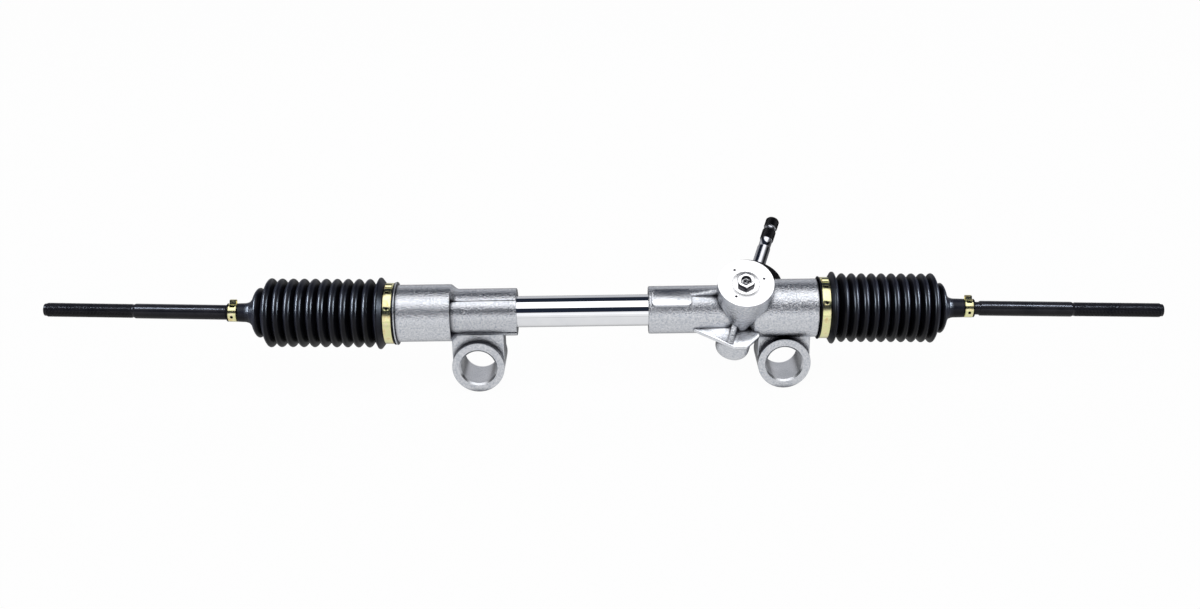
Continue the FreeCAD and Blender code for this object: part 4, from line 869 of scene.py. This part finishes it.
def saddle_cut(mesh):
    """The shallow seat in the front of the barrel, from the step to the tube's end."""
    place = rack_frame(SADDLE_START) @ Matrix.Rotation(math.radians(SADDLE_ANGLE), 4, "Z")
    points = arc(BARREL_SMALL + 9, 0.0, SADDLE_SWEEP, 40)
    points += arc(BARREL_SMALL - SADDLE_DEPTH, 0.0, SADDLE_SWEEP, 40)[::-1]
    raise_outline(mesh, points, 0.0, 72.0, place)


FLANGE_RADIUS = 32.2
FLANGE_WIDTH = 1.2


def end_housing():
    casting = roughcast("end_housing_casting", end_casting_rough)
    inner = STOP_BORE - 4
    profile = softened([
        (inner, 0.0), (FLANGE_RADIUS, 0.0), (FLANGE_RADIUS, FLANGE_WIDTH), (inner, FLANGE_WIDTH)
    ], 0.4)
    place = rack_frame(LEFT_BARREL_END - FLANGE_WIDTH)
    flange = solid("flange", lambda mesh: revolve(mesh, profile, place), cast_aluminium)
    rack_bores = stepped_bore(
        LEFT_SPIGOT_END - 4.0, (STOP_BORE, LEFT_RACK_STOP), (RACK_BORE, LEFT_BUSH_END),
        (BUSH_BORE, LEFT_TUBE_STOP), (TUBE_SOCKET, LEFT_TUBE_END + 8.5),
    )
    cutters = [
        turned_cutter("rack_bore_cut", rack_bores, rack_frame(0.0), machined_eye, 0.7),
        eye_cutter(FAR_EYE),
        # The seat's cut faces take the darker casting: painted shade in the recess.
        solid("saddle", saddle_cut, shaded_casting),
    ]
    carved(casting, cutters, [flange, lug(FAR_EYE), eye_ring(FAR_EYE)])
    return placed(casting, "housing", ["end_housing"], crease=42.0)


pinion_housing()
end_housing()


# Yoke group and pinion end

SCREW_HOLE = 5.02
PLUG_RING = 13.6
PLUG_RING_DEPTH = 0.3


def yoke_plug():
    """The screwed-in plug: a flush face with one shallow ring turned in it."""
    thick = PLUG_THICK
    radius = PLUG_BORE - 0.01
    profile = softened([
        (SCREW_HOLE, 0.0), (radius, 0.0), (radius, thick), (PLUG_RING + PLUG_RING_DEPTH, thick),
        (PLUG_RING, thick - PLUG_RING_DEPTH), (PLUG_RING - PLUG_RING_DEPTH, thick), (SCREW_HOLE, thick),
    ], 0.08, 2)
    place = yoke_frame @ Matrix.Translation((0, 0, BOSS_FACE - thick))
    plug = solid("yoke_plug_turned", lambda mesh: revolve(mesh, profile, place), machined_aluminium)
    carved(plug, stake_marks())
    return placed(plug, "housing", ["yoke_plug"], crease=15.0)


CAP_TOP = 52.6
CAP_HEIGHT = 10.5
CAP_HOLE = 7.25
CAP_RADIUS = 29.0
CAP_ROOF = 6.9


def dust_cap():
    """The moulded cap over the pinion tower, with a raised collar around the shaft."""
    skirt = TOWER_RADIUS + 0.05
    profile = softened([
        (skirt, 0.0), (CAP_RADIUS - 0.8, 0.0), (CAP_RADIUS, 0.8), (CAP_RADIUS, CAP_HEIGHT - 1.2),
        (CAP_RADIUS - 1.2, CAP_HEIGHT), (CAP_HOLE, CAP_HEIGHT), (CAP_HOLE, CAP_ROOF), (skirt, CAP_ROOF),
    ], 0.6, 3)
    place = pinion_frame @ Matrix.Translation((0, 0, CAP_TOP - CAP_HEIGHT))
    cap = solid("pinion_dust_cap_moulded", lambda mesh: revolve(mesh, profile, place), cap_plastic)
    return placed(cap, "housing", ["pinion_dust_cap"])


SPLINE_RADIUS = 7.14
SPLINE_DEPTH = 0.55
SPLINE_PARTS = ((101.5, 114.0), (118.0, 128.3))
SERRATIONS = 36
CLAMP_GROOVE = 1.3
SHAFT_CUT = 50.0
SHAFT_RADIUS = 6.9
SHAFT_NECK = 6.35
SHAFT_TIP = 129.5


def pinion_shaft():
    """The toothed shaft as built, with its plain outer end exchanged for a serrated one."""
    shaft = node_copy("pinion_shaft", "pinion_shaft_serrated")
    mesh = bmesh.new()
    mesh.from_mesh(shaft.data)
    bmesh.ops.bisect_plane(
        mesh, geom=mesh.verts[:] + mesh.edges[:] + mesh.faces[:], dist=MERGE,
        plane_co=pinion_frame @ Vector((0, 0, SHAFT_CUT)), plane_no=pinion_axis, clear_outer=True,
    )
    bmesh.ops.holes_fill(mesh, edges=[edge for edge in mesh.edges if edge.is_boundary])
    mesh.to_mesh(shaft.data)
    painted(shaft.data, polished_steel, black_oxide)
    end = serrated_end()
    mesh.from_mesh(end.data)
    mesh.to_mesh(shaft.data)
    mesh.free()
    bpy.data.objects.remove(end)
    return placed(shaft, "pinion", ["pinion_shaft"], crease=30.0)


def serrated_end():
    """Shaft, neck, serrations, the clamp-bolt groove and a domed tip, closed at both ends."""
    root = SPLINE_RADIUS - SPLINE_DEPTH
    groove = SPLINE_RADIUS - CLAMP_GROOVE
    around = SERRATIONS * 4
    (inner_start, inner_end), (outer_start, outer_end) = SPLINE_PARTS

    def build(mesh):
        def turn(profile):
            revolve(mesh, profile, pinion_frame, around, closed=False)

        turn([
            (0.0, SHAFT_CUT), (SHAFT_RADIUS, SHAFT_CUT), (SHAFT_RADIUS, 90.4), (SHAFT_NECK, 91.3),
            (SHAFT_NECK, 101.1), (root, inner_start),
        ])
        turn([(root, inner_end), (groove, 114.8), (groove, 117.2), (root, outer_start)])
        bright = len(mesh.faces)
        for low, high in SPLINE_PARTS:
            sleeve_into(
                mesh, pinion_frame, Start=low, Length=high - low, Valley_radius=root,
                Crest_radius=SPLINE_RADIUS, Ridges_along=0.0, Ridges_around=float(SERRATIONS),
                Fullness=0.8, Run_out=0.4, Rings=24, Segments=around,
            )
        turn([
            (root, outer_end), (root - 0.4, SHAFT_TIP - 0.4), (root - 1.3, SHAFT_TIP - 0.05),
            (root - 3.5, SHAFT_TIP), (0.0, SHAFT_TIP),
        ])
        mesh.faces.ensure_lookup_table()
        for face in mesh.faces[bright:]:
            face.material_index = 1

    return solid("serrated_end", build, polished_steel, black_oxide)


def two_tone(thing, bright, dark, axis, hole_radius=0.0):
    """Faces that look along the axis are bright and the rest dark, or the other way inside a hole."""
    painted(thing.data, bright, dark)
    base = Vector((YOKE_PLACE, 0.0, AXIS_HEIGHT))
    for face in thing.data.polygons:
        offset = face.center - base
        reach = (offset - axis * offset.dot(axis)).length
        lit = face.normal.dot(axis) > 0.6
        if hole_radius > 0:
            lit = reach < hole_radius
        face.material_index = 0 if lit else 1
    return thing


HEX_REACH = 2.6


def lock_nut():
    nut = edged("adjuster_lock_nut", "adjuster_lock_nut_faced", 0.45)
    # The top face is painted bright as a painted highlight, and the flats dark as painted shade.
    two_tone(nut, machined_aluminium, dark_steel, yoke_axis)
    return placed(nut, "housing", ["adjuster_lock_nut"])


def screw():
    """The adjuster: a blackened end with a bright socket in it."""
    part = edged("adjuster_screw", "adjuster_screw_socketed", 0.25)
    two_tone(part, ground_steel, black_oxide, yoke_axis, HEX_REACH)
    return placed(part, "housing", ["adjuster_screw"])


yoke_plug()
dust_cap()
pinion_shaft()
lock_nut()
screw()

inside = [
    ("centre_tube", chrome_plate), ("rack_bush", acetal), ("rack_bar", ground_steel),
    ("rack_yoke", machined_eye), ("yoke_liner", acetal), ("yoke_spring", ground_steel),
    ("spring_seat", ground_steel), ("yoke_plug_seal", seal_rubber), ("bearing_outer_race", ground_steel),
    ("bearing_inner_race", ground_steel), ("bearing_balls", ground_steel), ("bearing_cage", bronze),
    ("bearing_circlip", black_oxide), ("shaft_circlip", black_oxide), ("pinion_seal", seal_rubber),
    ("lower_bush", bronze),
]
for side in ("left", "right"):
    inside.append((side + "_ball_seat", acetal))
    for part in ("ball_socket", "socket_lock_nut", "socket_lock_pin", "seat_spring"):
        inside.append((side + "_" + part, ground_steel))
for node, finish in inside:
    painted(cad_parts[node].data, finish)


# Tie rods: ball, neck, shank, thicker body and a rolled thread towards the tip

BALL_RADIUS = 11.5
ROD_NECK = 5.6
ROD_SHANK = 6.5
ROD_BODY = 7.55
BODY_START = 120.0
BODY_END = 212.5
ROD_THREAD = 7.14
THREAD_PITCH = 1.411
THREAD_DEPTH = 0.75
THREAD_START = 215.0
THREAD_END = 303.0
ROD_LENGTH = 305.4


def tie_rod(side):
    place = rod_frame(side)
    neck = math.degrees(math.asin(ROD_NECK / BALL_RADIUS))
    ball = [(0.0, -BALL_RADIUS)] + arc(BALL_RADIUS, -90.0, 180.0 - neck, 40)[1:]
    core = ROD_THREAD - THREAD_DEPTH
    shank = softened([
        ball[-1], (ROD_NECK, 20.0), (ROD_SHANK, 24.0), (ROD_SHANK, BODY_START - 1), (ROD_BODY, BODY_START),
        (ROD_BODY, BODY_END), (ROD_THREAD - 0.1, BODY_END + 0.7), (core, THREAD_START),
    ], 0.5, 2, closed=False)
    tip = [
        (core, THREAD_END), (core - 0.2, ROD_LENGTH - 0.3), (core - 0.9, ROD_LENGTH), (0.0, ROD_LENGTH)
    ]
    turns = round((THREAD_END - THREAD_START) / THREAD_PITCH)
    around = 48

    def build(mesh):
        for profile in (ball, shank, tip):
            revolve(mesh, profile, place, around, closed=False)
        sleeve_into(
            mesh, place, Start=THREAD_START, Length=THREAD_END - THREAD_START, Valley_radius=core,
            Crest_radius=ROD_THREAD, Ridges_along=float(turns), Ridges_around=1.0, Fullness=0.9,
            Run_out=1.0, Rings=turns * 8 + 1, Segments=around,
        )

    rod = solid(side + "_tie_rod_threaded", build, black_oxide)
    return placed(rod, side + "_tie_rod", [side + "_tie_rod"], crease=50.0)


# Boots: a cuff, its bellows and a neck, leaning with the tie rod that carries the neck

CUFF_START = {"left": -393.9, "right": 33.9}

# Along the rack: the first, last and small ridge, and both ends of the neck
BOOT_PLACES = {
    "left": (-409.6, -521.5, -533.7, -543.5, -566.0),
    "right": (48.4, 149.2, 159.0, 167.0, 192.6),
}
PEAKS = 11
CUFF = 30.2
CUFF_LIP = 31.9
FIRST_PEAK = 36.6
PEAK = 35.0
VALLEY = 27.6
SMALL_VALLEY = 20.5
SMALL_PEAK = 25.2
NECK = 9.0
BOOT_WALL = 1.5
BOOT_ROUND = 192
CUFF_END = 9.9


def boot_turn(side):
    """The boot leans with the rod that carries its neck."""
    middle = sum(BOOT_PLACES[side][-2:]) / 2
    rise = abs(middle - ball_place(side)) * math.sin(ROD_TILT[side])
    lean = math.atan2(rise, abs(middle - CUFF_START[side]))
    return (
        Matrix.Translation((CUFF_START[side], 0.0, AXIS_HEIGHT))
        @ Matrix.Rotation(lean, 4, "Y") @ turn_to_rack(side)
    )


def hump(start, end, start_radius, crest, end_radius, fullness=0.8, steps=12):
    """One rounded ridge of a bellows, from valley to valley."""
    points = []
    for step in range(steps + 1):
        share = step / steps
        base = start_radius + (end_radius - start_radius) * share
        rise = math.sin(math.pi * share) ** fullness if 0 < step < steps else 0.0
        radius = base + (crest - (start_radius + end_radius) / 2) * rise
        points.append((radius, start + (end - start) * share))
    return points


def boot(side):
    sign = 1 if side == "right" else -1
    first, last, small, neck_start, neck_end = [
        (place - CUFF_START[side]) * sign for place in BOOT_PLACES[side]
    ]
    place = boot_turn(side)
    pitch = (last - first) / (PEAKS - 1)
    seam = last - pitch / 2
    bellows_start = first + pitch / 2

    def bellows(mesh):
        cuff = softened([
            (CUFF_LIP, 0.0), (CUFF_LIP, 0.7), (CUFF, 1.5), (CUFF, CUFF_END), (FIRST_PEAK, first - 0.9),
            (FIRST_PEAK, first + 0.9), (VALLEY, bellows_start),
        ], 0.9, 4, closed=False)
        revolve(mesh, cuff, place, BOOT_ROUND, closed=False)
        sleeve_into(
            mesh, place, Start=bellows_start, Length=seam - bellows_start, Valley_radius=VALLEY,
            Crest_radius=PEAK, Ridges_along=float(PEAKS - 2), Ridges_around=0.0, Fullness=0.8,
            Run_out=0.0, Rings=(PEAKS - 2) * 18 + 1, Segments=BOOT_ROUND,
        )

    def neck(mesh):
        waist = last + (small - last) * 0.55
        end = small + (small - waist)
        profile = hump(seam, waist, VALLEY, PEAK, SMALL_VALLEY)
        profile += hump(waist, end, SMALL_VALLEY, SMALL_PEAK, 15.5)[1:]
        profile += softened([
            profile[-1], (NECK + 2.0, neck_start - 0.5), (NECK + 0.7, neck_start + 3.5),
            (NECK + 0.4, neck_end - 10.8), (NECK - 0.7, neck_end - 10.2), (NECK - 0.7, neck_end - 1.6),
            (NECK + 0.3, neck_end - 1.2), (NECK + 0.3, neck_end),
        ], 1.2, 4, closed=False)[1:]
        revolve(mesh, profile, place, BOOT_ROUND, closed=False)

    pieces = []
    for name, build in (("bellows", bellows), ("neck", neck)):
        skin = solid(side + "_boot_" + name, build, boot_rubber)
        wall = skin.modifiers.new("wall", "SOLIDIFY")
        wall.thickness = BOOT_WALL
        wall.offset = -1.0
        settled(skin)
        finished(skin, boot_rubber, 60.0)
        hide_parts(side + "_boot")
        pieces.append(skin)
    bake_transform(pieces[0])
    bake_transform(pieces[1])
    return pieces


boots = []
rods = []
for side in ("left", "right"):
    rods.append(tie_rod(side))
    boots += boot(side)
    for node, body in ((side + "_large_clamp", "housing"), (side + "_small_clamp", side + "_tie_rod")):
        placed(edged(node, node + "_dressed", 0.15), body, [node], yellow_zinc)


# Floor, light and camera

def parts_of(nodes, links, coordinates):
    """The X, Y and Z of texture coordinates."""
    parts = nodes.new("ShaderNodeSeparateXYZ")
    links.new(coordinates, parts.inputs[0])
    return parts.outputs


def backdrop():
    """A plain pale floor. The camera sees it white, with the gear's soft shadow. Glossy rays see it glow in
    bands of light and dark, a painted reflection.
    """
    mesh = bmesh.new()
    bmesh.ops.create_grid(mesh, x_segments=1, y_segments=1, size=9.0)
    floor = kept(mesh, "floor")
    low = -(EYE_RADIUS + 0.3)
    floor.data.transform(Matrix.Translation(Vector((FAR_EYE / 2, 0.0, low)) * MILLIMETRE))
    material, nodes, links, paper, place = new_material(
        "floor_paper", Base_Color=(0.72, 0.72, 0.74, 1.0), Roughness=0.9
    )
    glow = with_inputs(nodes.new("ShaderNodeEmission"), Color=(1.0, 1.0, 1.0, 1.0))
    depth = spread(nodes, links, parts_of(nodes, links, place)["Y"], 0.0, 1.0, -1.0, 0.2)
    # For glossy rays the floor glows in bands along its depth: a painted reflection.
    painted_reflection = nodes.new("ShaderNodeEmission")
    painted_reflection_tones = [(position, (tone,) * 3) for position, tone in (
        (0.0, 1.2), (0.300, 1.2), (0.322, 0.30), (0.344, 0.94), (0.655, 0.90), (0.680, 0.55), (0.705, 0.84),
        (0.833, 0.78), (0.865, 0.5), (0.91, 0.10), (1.0, 0.10),
    )]
    links.new(ramp(nodes, links, depth, painted_reflection_tones), painted_reflection.inputs["Color"])
    ray = nodes.new("ShaderNodeLightPath")
    surface = paper.outputs[0]
    for seen, amount, shader in (("Is Glossy Ray", 0.85, painted_reflection), ("Is Camera Ray", 0.975, glow)):
        share = worked_out(nodes, links, "MULTIPLY", ray.outputs[seen], amount)
        surface = shader_mix(nodes, links, share, surface, shader.outputs[0])
    links.new(surface, nodes["Material Output"].inputs["Surface"])
    floor.data.materials.append(material)


def studio():
    """A studio of long bright and dark bands along the gear, white where the camera looks past it."""
    world = bpy.data.worlds.new("studio")
    bpy.context.scene.world = world
    world.use_nodes = True
    nodes = world.node_tree.nodes
    links = world.node_tree.links
    parts = parts_of(nodes, links, nodes.new("ShaderNodeTexCoord").outputs["Generated"])
    front = worked_out(nodes, links, "MULTIPLY", parts["Y"], -1.0)
    elevation = worked_out(nodes, links, "ARCTAN2", parts["Z"], front)
    white = (1.6, 1.6, 1.62)
    dark = (0.015, 0.02, 0.035)
    bands = ramp(nodes, links, spread(nodes, links, elevation, 0.0, 1.0, 0.0, math.pi), [
        (0.0, (1.0, 1.0, 1.02)), (0.058, (1.0, 1.0, 1.02)), (0.074, dark), (0.243, dark), (0.262, white),
        (0.515, white), (0.535, dark), (0.745, dark), (0.765, (0.52, 0.53, 0.56)), (1.0, (0.6, 0.6, 0.62)),
    ])
    light = nodes["Background"]
    links.new(bands, light.inputs["Color"])
    aside = worked_out(nodes, links, "ABSOLUTE", parts["X"])
    links.new(spread(nodes, links, aside, 1.0, 0.10, 0.42, 0.75), light.inputs["Strength"])
    plain = with_inputs(nodes.new("ShaderNodeBackground"), Color=(1.0, 1.0, 1.0, 1.0))
    ray = nodes.new("ShaderNodeLightPath")
    surface = shader_mix(nodes, links, ray.outputs["Is Camera Ray"], light.outputs[0], plain.outputs[0])
    links.new(surface, nodes["World Output"].inputs["Surface"])


def lamp(name, place, target, along, length, width, power, glossy=False, lights_only=()):
    """A rectangular lamp that faces the target, with its long side in the given direction."""
    data = bpy.data.lights.new(name, "AREA")
    data.shape = "RECTANGLE"
    data.size = length
    data.size_y = width
    data.energy = power
    out = (Vector(place) - Vector(target)).normalized()
    across = (Vector(along) - out * out.dot(Vector(along))).normalized()
    turn = Matrix((across, out.cross(across), out)).transposed()
    thing = added(name, data)
    thing.matrix_world = Matrix.Translation(place) @ turn.to_4x4()
    thing.visible_glossy = glossy
    thing.visible_camera = False
    if lights_only:
        lit = bpy.data.collections.new(name + "_lights")
        for piece in lights_only:
            lit.objects.link(piece)
        thing.light_linking.receiver_collection = lit


PHOTO_WIDTH = 1200
FOCAL_PIXELS = 1353.15
CAMERA_PLACE = Vector((-169.1, -1279.0, 563.6))


def camera():
    """The photograph's viewpoint: above and nearly square to the rack, turned 1 degree on its axis."""
    azimuth = math.radians(0.769)
    elevation = math.radians(21.543)
    roll = math.radians(-1.09)
    level = math.cos(elevation)
    back = Vector((math.sin(azimuth) * level, -math.cos(azimuth) * level, math.sin(elevation)))
    right = Vector((0, 0, 1)).cross(back).normalized()
    up = back.cross(right)
    turned_right = right * math.cos(roll) + up * math.sin(roll)
    turned_up = up * math.cos(roll) - right * math.sin(roll)
    data = bpy.data.cameras.new("camera")
    data.sensor_fit = "HORIZONTAL"
    data.sensor_width = 36.0
    data.lens = FOCAL_PIXELS / PHOTO_WIDTH * data.sensor_width
    data.clip_start = 0.05
    data.clip_end = 50.0
    thing = added("camera", data)
    turn = Matrix((turned_right, turned_up, back)).transposed()
    thing.matrix_world = Matrix.Translation(CAMERA_PLACE * MILLIMETRE) @ turn.to_4x4()
    bpy.context.scene.camera = thing


backdrop()
studio()
middle = (-0.17, 0.0, 0.05)
lamp("front_fill", (-0.2, -1.6, 1.6), middle, (1, 0, 0), 2.4, 0.8, 14.0)
lamp("back_fill", (-0.2, 1.6, 1.3), middle, (1, 0, 0), 2.4, 0.8, 9.0)
for name, place, target, along, length, width, power, lit in (
    ("left_strip", (-1.27, -0.10, 0.46), (-0.47, 0.0, 0.05), (0.2, 0.7, 0.55), 0.5, 0.15, 48.0, boots),
    ("right_strip", (0.93, -0.10, 0.46), (0.13, 0.0, 0.05), (-0.2, 0.7, 0.55), 0.5, 0.15, 48.0, boots),
    ("left_rod_strip", (-1.04, -0.36, 1.15), (-0.65, 0.0, 0.05), (1.0, 0.0, 0.0), 0.8, 0.11, 22.0, rods),
    ("right_rod_strip", (0.65, -0.36, 1.15), (0.30, 0.0, 0.05), (1.0, 0.0, 0.0), 0.8, 0.11, 22.0, rods),
):
    lamp(name, place, target, along, length, width, power, True, lit)
    bpy.data.lights[name].color = (0.72, 0.83, 1.0)
camera()
bpy.context.scene.view_settings.view_transform = "Standard"
